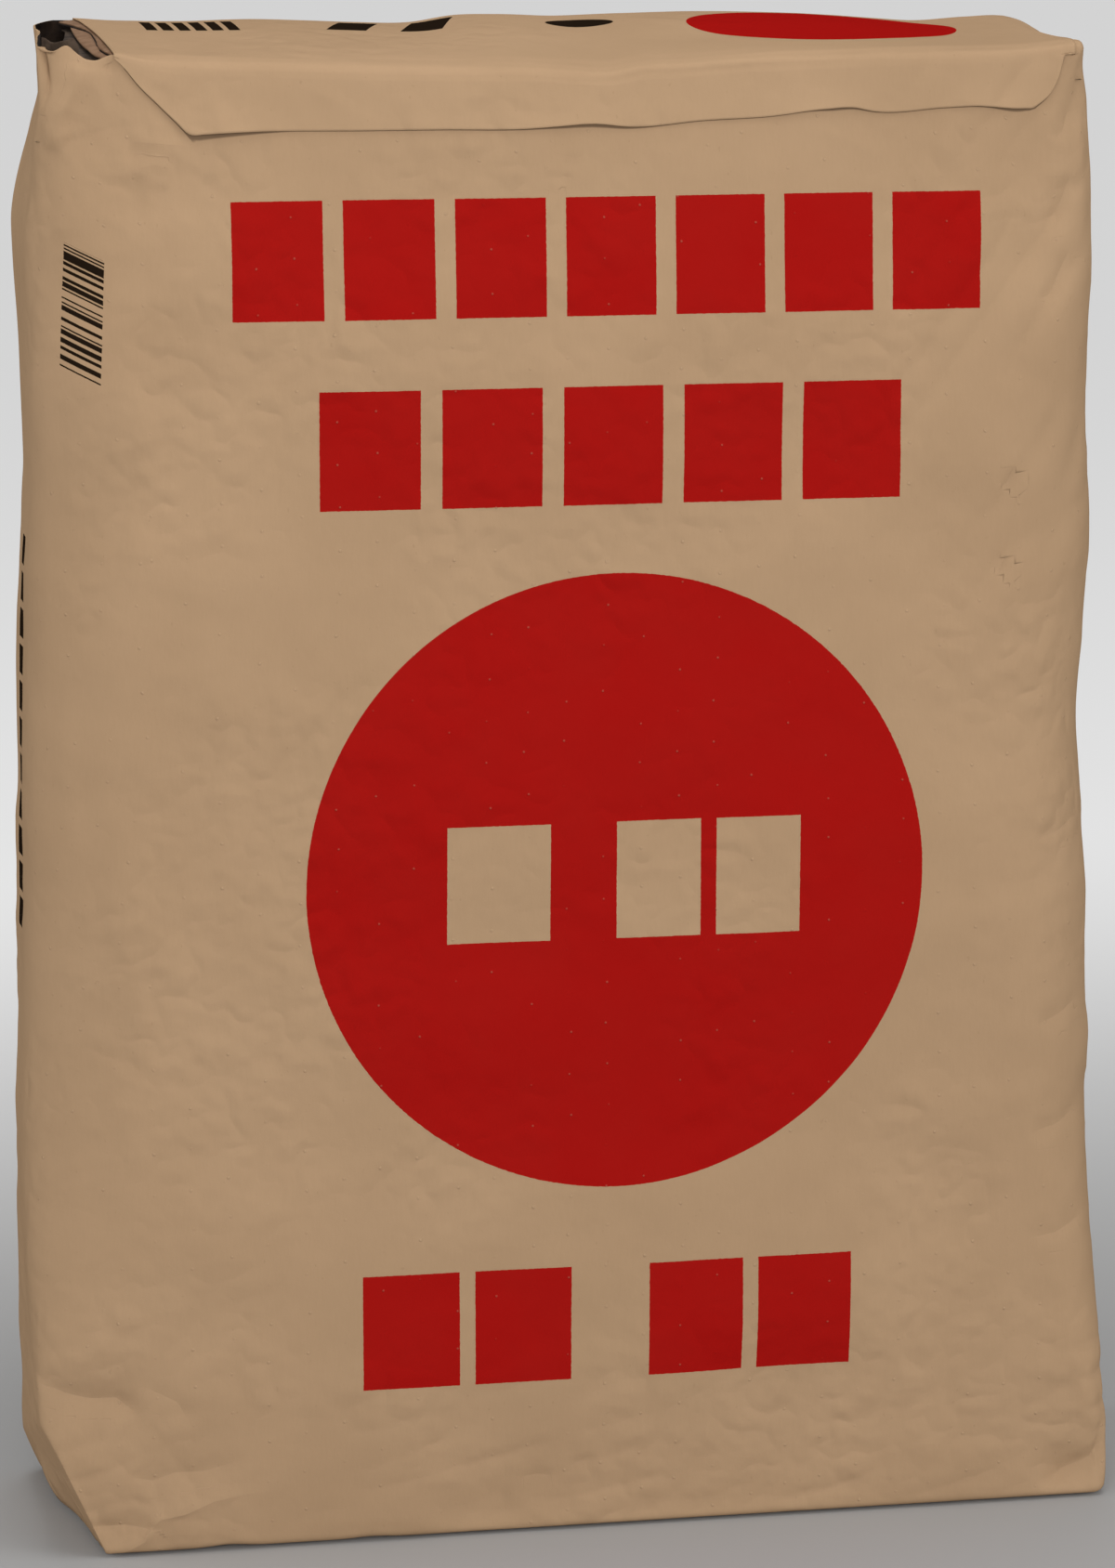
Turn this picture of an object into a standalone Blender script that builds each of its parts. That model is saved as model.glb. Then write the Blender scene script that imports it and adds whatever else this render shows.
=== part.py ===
"""A paper valve bag filled with 40 kg of dry screed concrete, standing on its end.

Metres, +Z up. The origin is on the floor under the middle of the bag, the printed face
looks along -Y, and the filling valve is in the top corner at -X.

The bag is five pieces: the folded kraft sack, the mix inside it, the valve sleeve in its
corner, and a cover sheet pasted over each folded end.
"""

import math

import bmesh
import bpy
from mathutils import Vector

# Driving dimensions of the filled sack
PAPER = 0.0010
COVER_PAPER = 0.0008
SLEEVE_PAPER = 0.0008
SEAT_GAP = 0.0003
SKIN_GAP = 0.0005
EDGE_HEIGHT = 0.5600
EDGE_RISE_AT_SIDES = 0.0085
CROWN = 0.0130
CROWN_LOSS_AT_SIDES = 0.0065
TOP_EDGE_RADIUS = 0.0080
BOTTOM_EDGE_RADIUS = 0.0060
BASE = COVER_PAPER + SEAT_GAP

# The filled outline by height: (height, distance from the middle plane)
LEFT_SIDE = (
    (0.000, 0.1960), (0.028, 0.2070), (0.070, 0.2108), (0.150, 0.2095), (0.250, 0.2075),
    (0.350, 0.2050), (0.415, 0.2025), (0.500, 0.2045), (0.545, 0.1965), (0.570, 0.1955),
)
RIGHT_SIDE = (
    (0.000, 0.2085), (0.030, 0.2100), (0.100, 0.2108), (0.160, 0.2108), (0.235, 0.2090),
    (0.300, 0.2060), (0.380, 0.2070), (0.500, 0.2065), (0.545, 0.2035), (0.570, 0.2005),
)
HALF_DEPTH = (
    (0.000, 0.0540), (0.050, 0.0575), (0.150, 0.0600), (0.280, 0.0605), (0.420, 0.0590),
    (0.500, 0.0570), (0.545, 0.0545), (0.570, 0.0540),
)
LEFT_CORNER_RADIUS = (
    (0.000, 0.0300), (0.060, 0.0320), (0.150, 0.0400), (0.280, 0.0430), (0.420, 0.0380),
    (0.520, 0.0200), (0.570, 0.0085),
)
RIGHT_CORNER_RADIUS = (
    (0.000, 0.0120), (0.060, 0.0200), (0.150, 0.0360), (0.280, 0.0420), (0.420, 0.0380),
    (0.520, 0.0240), (0.570, 0.0120),
)

# How finely the solids are faceted
FACE_STEPS = 12
CORNER_STEPS = 4
SIDE_STEPS = 3
WALL_STEPS = 15
EDGE_STEPS = 3
CAP_STEPS = 4

# Top cover sheet: it wraps the end and comes down both faces, with cut-off corners
COVER_LEFT = -0.1712
COVER_RIGHT = 0.1880
COVER_HEM = 0.5400
COVER_CORNER_CUT = 0.0270

# Bottom cover sheet: it lies flat under the folded end
FOOT_LEFT = -0.1640
FOOT_RIGHT = 0.1840
FOOT_HALF_DEPTH = 0.0460
FOOT_CORNER_CUT = 0.0240

# Valve sleeve: a flat paper duct that leads in from the open corner, as an outline in X and Z
SLEEVE_HALF_WIDTH = 0.0450
SLEEVE_LEFT = -0.1940
SLEEVE_LIP_Z = 0.5620
SLEEVE_BEND_Z = 0.5520
SLEEVE_FLOOR_LEFT = (-0.1860, 0.5460)
SLEEVE_FLOOR_RIGHT = (-0.1100, 0.5500)
SLEEVE_ROOF_RIGHT = (-0.1100, 0.5575)
SLEEVE_ROOF_LEFT = (-0.1650, 0.5600)
SLEEVE_ROOF_LIP = (-0.1722, 0.5630)
ABOVE_THE_BAG = 0.6200
PAST_THE_SLEEVE = 0.0050

# Finishes: colour, roughness
KRAFT = ((0.440, 0.300, 0.188), 0.78)
KRAFT_COVER = ((0.490, 0.338, 0.212), 0.76)
KRAFT_INSIDE = ((0.205, 0.150, 0.105), 0.88)
DRY_MIX = ((0.420, 0.410, 0.390), 0.95)


def clear_scene():
    """Removes every object, so that the file holds only the bag."""
    for old in list(bpy.data.objects):
        bpy.data.objects.remove(old)


def smooth_between(profile, height):
    """The value of a (height, value) profile at a height, eased between its stations."""
    if height <= profile[0][0]:
        return profile[0][1]
    for (low, low_value), (high, high_value) in zip(profile, profile[1:]):
        if height <= high:
            share = (height - low) / (high - low)
            share = share * share * (3.0 - 2.0 * share)
            return low_value + (high_value - low_value) * share
    return profile[-1][1]


def arc(centre, radius, start, end, steps):
    """Points on an arc in plan, without the last one. Angles are in degrees from +X."""
    points = []
    for step in range(steps):
        angle = math.radians(start + (end - start) * step / steps)
        points.append((centre[0] + radius * math.cos(angle), centre[1] + radius * math.sin(angle)))
    return points


def run(start, end, steps):
    """Evenly spaced points on a straight line, without the last one."""
    return [
        tuple(a + (b - a) * step / steps for a, b in zip(start, end))
        for step in range(steps)
    ]


def plan_outline(height, inset):
    """The sack's outline in plan at a height, moved in by an inset: a rectangle with round
    corners, counter-clockwise from the front left."""
    left = inset - smooth_between(LEFT_SIDE, height)
    right = smooth_between(RIGHT_SIDE, height) - inset
    depth = max(smooth_between(HALF_DEPTH, height) - inset, 0.0)
    round_left = min(max(smooth_between(LEFT_CORNER_RADIUS, height) - inset, 0.0), depth)
    round_right = min(max(smooth_between(RIGHT_CORNER_RADIUS, height) - inset, 0.0), depth)
    inner_left = left + round_left
    inner_right = right - round_right
    left_half = depth - round_left
    right_half = depth - round_right
    return (
        run((inner_left, -depth), (inner_right, -depth), FACE_STEPS)
        + arc((inner_right, -right_half), round_right, -90.0, 0.0, CORNER_STEPS)
        + run((right, -right_half), (right, right_half), SIDE_STEPS)
        + arc((inner_right, right_half), round_right, 0.0, 90.0, CORNER_STEPS)
        + run((inner_right, depth), (inner_left, depth), FACE_STEPS)
        + arc((inner_left, left_half), round_left, 90.0, 180.0, CORNER_STEPS)
        + run((left, left_half), (left, -left_half), SIDE_STEPS)
        + arc((inner_left, -left_half), round_left, 180.0, 270.0, CORNER_STEPS)
    )


def sack_rings():
    """The rings of the filled sack from the middle of its foot to the middle of its top, as
    (height for the outline, inset, height of the ring, share of the rise at the sides, share
    of the crown)."""
    rings = []
    foot_depth = smooth_between(HALF_DEPTH, 0.0)
    for step in range(CAP_STEPS):
        share = step / CAP_STEPS
        inset = foot_depth + (BOTTOM_EDGE_RADIUS - foot_depth) * share
        rings.append((0.0, inset, BASE, 0.0, 0.0))
    for step in range(EDGE_STEPS):
        angle = 0.5 * math.pi * step / EDGE_STEPS
        inset = BOTTOM_EDGE_RADIUS * (1.0 - math.sin(angle))
        height = BOTTOM_EDGE_RADIUS * (1.0 - math.cos(angle))
        rings.append((height, inset, BASE + height, 0.0, 0.0))
    wall_low = BOTTOM_EDGE_RADIUS
    wall_high = EDGE_HEIGHT - TOP_EDGE_RADIUS
    for step in range(WALL_STEPS):
        height = wall_low + (wall_high - wall_low) * step / WALL_STEPS
        rise = max(0.0, (height - 0.5 * wall_high) / (0.5 * wall_high)) ** 3
        rings.append((height, 0.0, BASE + height, rise, 0.0))
    for step in range(EDGE_STEPS):
        angle = 0.5 * math.pi * step / EDGE_STEPS
        inset = TOP_EDGE_RADIUS * (1.0 - math.cos(angle))
        height = wall_high + TOP_EDGE_RADIUS * math.sin(angle)
        rings.append((height, inset, height, 1.0, 0.0))
    top_depth = smooth_between(HALF_DEPTH, EDGE_HEIGHT)
    for step in range(CAP_STEPS + 1):
        share = step / CAP_STEPS
        inset = TOP_EDGE_RADIUS + (top_depth - TOP_EDGE_RADIUS) * share
        rings.append((EDGE_HEIGHT, inset, EDGE_HEIGHT, 1.0, 1.0 - (1.0 - share) ** 2))
    return rings


def sack_skin():
    """The outer surface of the filled sack as one closed bmesh, faces outward."""
    skin = bmesh.new()
    loops = []
    for height, inset, ring_height, rise, crown in sack_rings():
        loop = []
        for x, y in plan_outline(height, inset):
            at_side = (x / 0.2) ** 2
            raised = EDGE_RISE_AT_SIDES * at_side * rise
            raised += (CROWN - CROWN_LOSS_AT_SIDES * at_side) * crown
            loop.append(skin.verts.new((x, y, ring_height + raised)))
        loops.append(loop)
    count = len(loops[0])
    for lower, upper in zip(loops, loops[1:]):
        for column in range(count):
            after = (column + 1) % count
            skin.faces.new((lower[column], lower[after], upper[after], upper[column]))
    bmesh.ops.remove_doubles(skin, verts=skin.verts, dist=1e-6)
    bmesh.ops.dissolve_degenerate(skin, dist=1e-7, edges=skin.edges)
    bmesh.ops.recalc_face_normals(skin, faces=skin.faces)
    return skin


def move_out(skin, distance):
    """Moves every point of a surface along its own normal."""
    skin.normal_update()
    moves = [(point, point.normal * distance) for point in skin.verts]
    for point, move in moves:
        point.co += move


def trim(skin, point, normal):
    """Cuts a surface by a plane and removes the side that the normal points to."""
    bmesh.ops.bisect_plane(
        skin, geom=skin.verts[:] + skin.edges[:] + skin.faces[:],
        plane_co=point, plane_no=normal, clear_outer=True,
    )


def finish(name, colour, roughness):
    """A plain material for one kind of paper or for the mix."""
    material = bpy.data.materials.new(name)
    material.use_nodes = True
    shader = material.node_tree.nodes["Principled BSDF"]
    shader.inputs["Base Color"].default_value = (*colour, 1.0)
    shader.inputs["Roughness"].default_value = roughness
    shader.inputs["Metallic"].default_value = 0.0
    material.diffuse_color = (*colour, 1.0)
    return material


def add_object(name, shape, material=None):
    """Turns a bmesh into a named object in the scene."""
    mesh = bpy.data.meshes.new(name)
    shape.to_mesh(mesh)
    shape.free()
    piece = bpy.data.objects.new(name, mesh)
    bpy.context.scene.collection.objects.link(piece)
    if material:
        mesh.materials.append(material)
        mesh.shade_smooth()
        mesh.set_sharp_from_angle(angle=math.radians(35.0))
    return piece


def prism_along_y(outline, half_width):
    """A bmesh of an outline in X and Z, extruded the same distance to both sides."""
    shape = bmesh.new()
    points = [shape.verts.new((x, -half_width, z)) for x, z in outline]
    face = shape.faces.new(points)
    made = bmesh.ops.extrude_face_region(shape, geom=[face])
    moved = [part for part in made["geom"] if isinstance(part, bmesh.types.BMVert)]
    bmesh.ops.translate(shape, verts=moved, vec=(0.0, 2.0 * half_width, 0.0))
    bmesh.ops.recalc_face_normals(shape, faces=shape.faces)
    return shape


def cutter(name, outline, half_width):
    """A hidden prism that a Boolean cuts with."""
    helper = add_object(name, prism_along_y(outline, half_width))
    helper.hide_render = True
    helper.display_type = "WIRE"
    return helper


def cut(piece, helper):
    """Cuts a helper's shape out of a piece."""
    boolean = piece.modifiers.new("cut_" + helper.name, "BOOLEAN")
    boolean.operation = "DIFFERENCE"
    boolean.object = helper


def make_sack(kraft):
    """The kraft sack: a paper wall all round, open only at the valve corner."""
    sack = add_object("paper_sack", sack_skin(), kraft)
    wall = sack.modifiers.new("paper_wall", "SOLIDIFY")
    wall.thickness = PAPER
    wall.offset = -1.0
    wall.use_even_offset = False
    gap = SEAT_GAP
    mouth = (
        (SLEEVE_LEFT - gap, ABOVE_THE_BAG),
        (SLEEVE_LEFT - gap, SLEEVE_BEND_Z),
        (SLEEVE_ROOF_LIP[0] + gap, SLEEVE_BEND_Z),
        (SLEEVE_ROOF_LIP[0] + gap, ABOVE_THE_BAG),
    )
    cut(sack, cutter("valve_mouth", mouth, SLEEVE_HALF_WIDTH + gap))
    return sack


def make_mix(dry_mix):
    """The dry mix: it fills the sack and stays just under the valve sleeve."""
    shape = sack_skin()
    move_out(shape, -(PAPER + SKIN_GAP))
    mix = add_object("screed_mix", shape, dry_mix)
    gap = SEAT_GAP
    room = (
        (-0.2300, ABOVE_THE_BAG),
        (-0.2300, SLEEVE_FLOOR_LEFT[1] - gap),
        (SLEEVE_FLOOR_LEFT[0], SLEEVE_FLOOR_LEFT[1] - gap),
        (SLEEVE_FLOOR_RIGHT[0] + gap, SLEEVE_FLOOR_RIGHT[1] - gap),
        (SLEEVE_FLOOR_RIGHT[0] + gap, ABOVE_THE_BAG),
    )
    cut(mix, cutter("sleeve_room", room, 0.0800))
    return mix


def make_sleeve(inside):
    """The valve sleeve: a flat duct with its mouth at the corner and its other end open
    under the top cover, where the pressed mix closes it in use."""
    outline = (
        (SLEEVE_LEFT, SLEEVE_LIP_Z),
        (SLEEVE_LEFT, SLEEVE_BEND_Z),
        SLEEVE_FLOOR_LEFT,
        SLEEVE_FLOOR_RIGHT,
        SLEEVE_ROOF_RIGHT,
        SLEEVE_ROOF_LEFT,
        SLEEVE_ROOF_LIP,
    )
    sleeve = add_object("valve_sleeve", prism_along_y(outline, SLEEVE_HALF_WIDTH), inside)
    ply = SLEEVE_PAPER
    past = SLEEVE_FLOOR_RIGHT[0] + PAST_THE_SLEEVE
    passage = (
        (SLEEVE_LEFT + ply, ABOVE_THE_BAG),
        (SLEEVE_LEFT + ply, SLEEVE_BEND_Z + 0.4 * ply),
        (SLEEVE_FLOOR_LEFT[0] + 0.3 * ply, SLEEVE_FLOOR_LEFT[1] + ply),
        (past, SLEEVE_FLOOR_RIGHT[1] + 1.3 * ply),
        (past, SLEEVE_ROOF_RIGHT[1] - 1.8 * ply),
        (SLEEVE_ROOF_LEFT[0] - 0.4 * ply, SLEEVE_ROOF_LEFT[1] - 1.2 * ply),
        (SLEEVE_ROOF_LIP[0] - 1.2 * ply, SLEEVE_ROOF_LIP[1] - 0.6 * ply),
        (SLEEVE_ROOF_LIP[0] - 1.2 * ply, ABOVE_THE_BAG),
    )
    cut(sleeve, cutter("sleeve_passage", passage, SLEEVE_HALF_WIDTH - ply))
    return sleeve


def make_top_cover(kraft_cover):
    """The top cover sheet: a strip that follows the end of the sack, over both edges and a
    little way down the faces, with its four corners cut off."""
    sheet = sack_skin()
    middle = Vector((0.0, 0.0, COVER_HEM))
    trim(sheet, middle, Vector((0.0, 0.0, -1.0)))
    trim(sheet, Vector((COVER_LEFT, 0.0, 0.0)), Vector((-1.0, 0.0, 0.0)))
    trim(sheet, Vector((COVER_RIGHT, 0.0, 0.0)), Vector((1.0, 0.0, 0.0)))
    for side, edge in ((-1.0, COVER_LEFT), (1.0, COVER_RIGHT)):
        corner = Vector((edge, 0.0, COVER_HEM + COVER_CORNER_CUT))
        trim(sheet, corner, Vector((side, 0.0, -1.0)).normalized())
    move_out(sheet, SKIN_GAP)
    cover = add_object("top_cover_sheet", sheet, kraft_cover)
    wall = cover.modifiers.new("paper_wall", "SOLIDIFY")
    wall.thickness = COVER_PAPER
    wall.offset = 1.0
    wall.use_even_offset = False
    return cover


def make_bottom_cover(kraft_cover):
    """The bottom cover sheet: a flat strip with its corners cut off. The bag stands on it."""
    across = FOOT_HALF_DEPTH
    corner = FOOT_CORNER_CUT
    outline = (
        (FOOT_LEFT + corner, -across),
        (FOOT_RIGHT - corner, -across),
        (FOOT_RIGHT, corner - across),
        (FOOT_RIGHT, across - corner),
        (FOOT_RIGHT - corner, across),
        (FOOT_LEFT + corner, across),
        (FOOT_LEFT, across - corner),
        (FOOT_LEFT, corner - across),
    )
    shape = bmesh.new()
    face = shape.faces.new([shape.verts.new((x, y, 0.0)) for x, y in outline])
    made = bmesh.ops.extrude_face_region(shape, geom=[face])
    moved = [part for part in made["geom"] if isinstance(part, bmesh.types.BMVert)]
    bmesh.ops.translate(shape, verts=moved, vec=(0.0, 0.0, COVER_PAPER))
    bmesh.ops.recalc_face_normals(shape, faces=shape.faces)
    return add_object("bottom_cover_sheet", shape, kraft_cover)


def main():
    """Builds the bag, piece by piece."""
    clear_scene()
    kraft = finish("kraft_paper", *KRAFT)
    kraft_cover = finish("kraft_cover_paper", *KRAFT_COVER)
    make_sack(kraft)
    make_mix(finish("dry_screed_mix", *DRY_MIX))
    make_sleeve(finish("kraft_inner_ply", *KRAFT_INSIDE))
    make_top_cover(kraft_cover)
    make_bottom_cover(kraft_cover)


main()
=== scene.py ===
"""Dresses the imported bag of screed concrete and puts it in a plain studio.

The bag is a pasted kraft paper valve bag, full, standing on its folded end. Its paper is worked
out with numpy as surfaces of two parameters, round the bag and up it, in metres: +Z is up, the
printed face looks along -Y, and the filling valve is in the top corner at -X.
"""

from __future__ import annotations

import logging
import math
from dataclasses import dataclass, replace
from enum import Enum

import bmesh
import bpy
import numpy as np
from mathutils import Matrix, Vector

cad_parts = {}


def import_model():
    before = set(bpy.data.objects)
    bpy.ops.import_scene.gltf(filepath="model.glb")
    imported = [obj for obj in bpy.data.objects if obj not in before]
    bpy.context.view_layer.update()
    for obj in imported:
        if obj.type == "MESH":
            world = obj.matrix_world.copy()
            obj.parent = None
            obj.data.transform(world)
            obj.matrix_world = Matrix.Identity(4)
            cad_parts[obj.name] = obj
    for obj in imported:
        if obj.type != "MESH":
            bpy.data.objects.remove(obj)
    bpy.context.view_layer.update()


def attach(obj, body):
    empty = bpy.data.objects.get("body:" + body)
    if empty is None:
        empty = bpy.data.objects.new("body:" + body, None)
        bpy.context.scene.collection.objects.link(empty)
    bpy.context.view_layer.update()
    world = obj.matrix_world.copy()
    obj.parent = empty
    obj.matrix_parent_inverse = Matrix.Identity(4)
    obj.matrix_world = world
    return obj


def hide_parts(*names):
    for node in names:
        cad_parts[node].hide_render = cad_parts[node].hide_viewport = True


LOG = logging.getLogger("screed_bag")
MM = 0.001
HALF_DEPTH = 0.055  # from the middle of the bag to its front, near the top
TOP_LEVEL = 0.565  # height at which the folded top meets the walls

Socket = bpy.types.NodeSocket


# Shape helpers


def rise(low: float, high: float, value: np.ndarray) -> np.ndarray:
    """Eases from 0 at low to 1 at high, level at both ends."""
    share = np.clip((value - low) / (high - low), 0.0, 1.0)
    return share * share * (3.0 - 2.0 * share)


def hump(value: np.ndarray, centre: float, width: float) -> np.ndarray:
    """A bell of height 1 with its top at centre."""
    return np.exp(-(((value - centre) / width) ** 2))


@dataclass(frozen=True)
class Curve:
    """A smooth curve through (position, value) stations, held level past its ends."""

    stations: tuple[tuple[float, float], ...]

    def at(self, position: np.ndarray) -> np.ndarray:
        """Reads the curve.

        Args:
            position: Where to read it, in any shape of array.

        Returns:
            The values there, on a cubic through the stations whose slopes are those of their
            neighbours.
        """
        knots, values = np.array(self.stations, float).T
        slopes = np.gradient(values, knots)
        index = np.clip(np.searchsorted(knots, position) - 1, 0, len(knots) - 2)
        span = knots[index + 1] - knots[index]
        t = np.clip((position - knots[index]) / span, 0.0, 1.0)
        start = (2.0 * t**3 - 3.0 * t**2 + 1.0) * values[index]
        start_slope = (t**3 - 2.0 * t**2 + t) * span * slopes[index]
        end = (-2.0 * t**3 + 3.0 * t**2) * values[index + 1]
        end_slope = (t**3 - t**2) * span * slopes[index + 1]
        return start + start_slope + end + end_slope


@dataclass(frozen=True)
class Lumps:
    """Smooth seeded noise in space, between about -1 and 1."""

    seed: int
    cell: float
    stretch: tuple[float, float, float] = (1.0, 1.0, 1.0)
    lean: float = 0.0

    def at(self, points: np.ndarray) -> np.ndarray:
        """Reads the noise at points.

        Args:
            points: Places in metres, (..., 3).

        Returns:
            Random values of a cubic lattice, eased between its eight nearest corners. The
            lattice leans to +X by the given degrees, as seen from the front.
        """
        lattice = np.random.default_rng(self.seed).uniform(-1.0, 1.0, (48, 48, 48))
        cosine, sine = math.cos(math.radians(self.lean)), math.sin(math.radians(self.lean))
        across = points[..., 0] * cosine - points[..., 2] * sine
        upward = points[..., 0] * sine + points[..., 2] * cosine
        points = np.stack([across, points[..., 1], upward], axis=-1)
        place = points / (self.cell * np.array(self.stretch)) + 100.5
        base = np.floor(place).astype(int)
        part = place - base
        part = part**3 * (part * (6.0 * part - 15.0) + 10.0)
        total = np.zeros(points.shape[:-1])
        for corner in np.ndindex(2, 2, 2):
            index = (base + corner) % 48
            weight = np.prod(np.where(corner, part, 1.0 - part), axis=-1)
            total += weight * lattice[index[..., 0], index[..., 1], index[..., 2]]
        return total


class Fold(Enum):
    """Which way a crease in the paper goes."""

    VALLEY = -1.0
    RIDGE = 1.0


@dataclass(frozen=True)
class Crease:
    """A crease on the front of the bag, as a line of (x, z) points.

    It is sharp along its line. It fades with one width to the left of the line's direction and
    another to the right, and grows shallower and narrower towards its two ends.
    """

    line: tuple[tuple[float, float], ...]
    depth: float
    left: float
    right: float
    fold: Fold
    blunt: float
    start: float
    end: float
    crisp: float

    def trace(self, here: np.ndarray) -> tuple[np.ndarray, np.ndarray]:
        """Where places lie from the line.

        Args:
            here: x and z of the places, (n, 2).

        Returns:
            The distance to the line, positive at its left, and the share of the way along it.
        """
        spots = np.array(self.line, float)
        steps = np.diff(spots, axis=0)
        lengths = np.hypot(*steps.T)
        before = np.concatenate([[0.0], np.cumsum(lengths)])
        best = np.full(len(here), 1e9)
        side = np.zeros(len(here))
        along = np.zeros(len(here))
        for start, step, length, run in zip(spots, steps, lengths, before):
            offset = here - start
            share = np.clip(offset @ step / length**2, 0.0, 1.0)
            gap = offset - share[:, None] * step
            distance = np.hypot(gap[:, 0], gap[:, 1])
            closer = distance < best
            best[closer] = distance[closer]
            turn = step[0] * offset[:, 1] - step[1] * offset[:, 0]
            side[closer] = turn[closer]
            along[closer] = (run + share * length)[closer] / before[-1]
        return np.where(side > 0.0, best, -best), along

    def near(self, x: np.ndarray, z: np.ndarray) -> np.ndarray:
        """Which places are close enough to the line to move."""
        spots = np.array(self.line, float)
        reach = 4.0 * max(self.left, self.right)
        low, high = spots.min(0) - reach, spots.max(0) + reach
        return (x > low[0]) & (x < high[0]) & (z > low[1]) & (z < high[1])

    def height(self, x: np.ndarray, z: np.ndarray) -> np.ndarray:
        """How far the crease moves the paper outward.

        Args:
            x: Places across the front, in metres.
            z: Heights, in metres.

        Returns:
            The move along the paper's normal, in metres: its depth, falling off with the
            distance to the line as an exponential whose tip is rounded, and zero far away.
        """
        near = self.near(x, z)
        moved = np.zeros(x.shape)
        if not near.any():
            return moved
        side, along = self.trace(np.stack([x[near], z[near]], axis=-1))
        ends = rise(-0.12, max(self.start, 1e-3), along)
        ends = ends * rise(-0.12, max(self.end, 1e-3), 1.0 - along)
        width = np.where(side > 0.0, self.left, self.right) * (0.35 + 0.65 * ends)
        far = (np.sqrt(side**2 + self.blunt**2) - self.blunt) / width
        fade = np.exp(-far) * np.clip(1.0 - (far / 4.0) ** 2, 0.0, 1.0) ** 2
        moved[near] = self.fold.value * self.depth * fade * ends
        return moved

    def core(self, x: np.ndarray, z: np.ndarray) -> tuple[np.ndarray, np.ndarray]:
        """The sharp fold along the crease, which is finer than the mesh.

        Args:
            x: Places across the front, in metres.
            z: Heights, in metres.

        Returns:
            The signed distance to the line and the fold's height there, both in metres. The
            height is zero at the crease's ends and away from it.
        """
        near = self.near(x, z)
        side, height = np.full(x.shape, 0.02), np.zeros(x.shape)
        if self.crisp == 0.0 or not near.any():
            return side, height
        side[near], along = self.trace(np.stack([x[near], z[near]], axis=-1))
        ends = rise(0.0, max(self.start, 0.08), along) * rise(0.0, max(self.end, 0.08), 1.0 - along)
        height[near] = self.fold.value * self.crisp * ends
        return side, height * (1.0 - rise(0.004, 0.009, np.abs(side)))


@dataclass(frozen=True)
class Press:
    """A flat place pressed into the bag: what stands past its plane is moved onto it."""

    point: tuple[float, float, float]
    normal: tuple[float, float, float]
    soft: float

    def apply(self, points: np.ndarray) -> np.ndarray:
        """Presses points.

        Args:
            points: Places in metres, (..., 3).

        Returns:
            The points, those past the plane moved back to it, with a bend of the given softness
            where the flat place begins.
        """
        normal = np.array(self.normal) / np.linalg.norm(self.normal)
        past = (points - np.array(self.point)) @ normal
        pushed = 0.5 * (past + np.sqrt(past**2 + self.soft**2)) - 0.5 * self.soft
        pushed = np.where(past > -8.0 * self.soft, np.maximum(pushed, 0.0), 0.0)
        return points - pushed[..., None] * normal

    def moved_in(self, distance: float) -> Press:
        """The same flat place, a distance further into the bag."""
        normal = np.array(self.normal) / np.linalg.norm(self.normal)
        return replace(self, point=tuple(np.array(self.point) - distance * normal))


# The shape of the filled bag


class Zone(Enum):
    """The bands of the sack's surface, from the middle of its foot to the middle of its top."""

    FOOT = "foot"
    BOTTOM_EDGE = "bottom edge"
    WALL = "wall"
    TOP_EDGE = "top edge"
    MOUTH = "mouth"
    TOP = "top"


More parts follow.
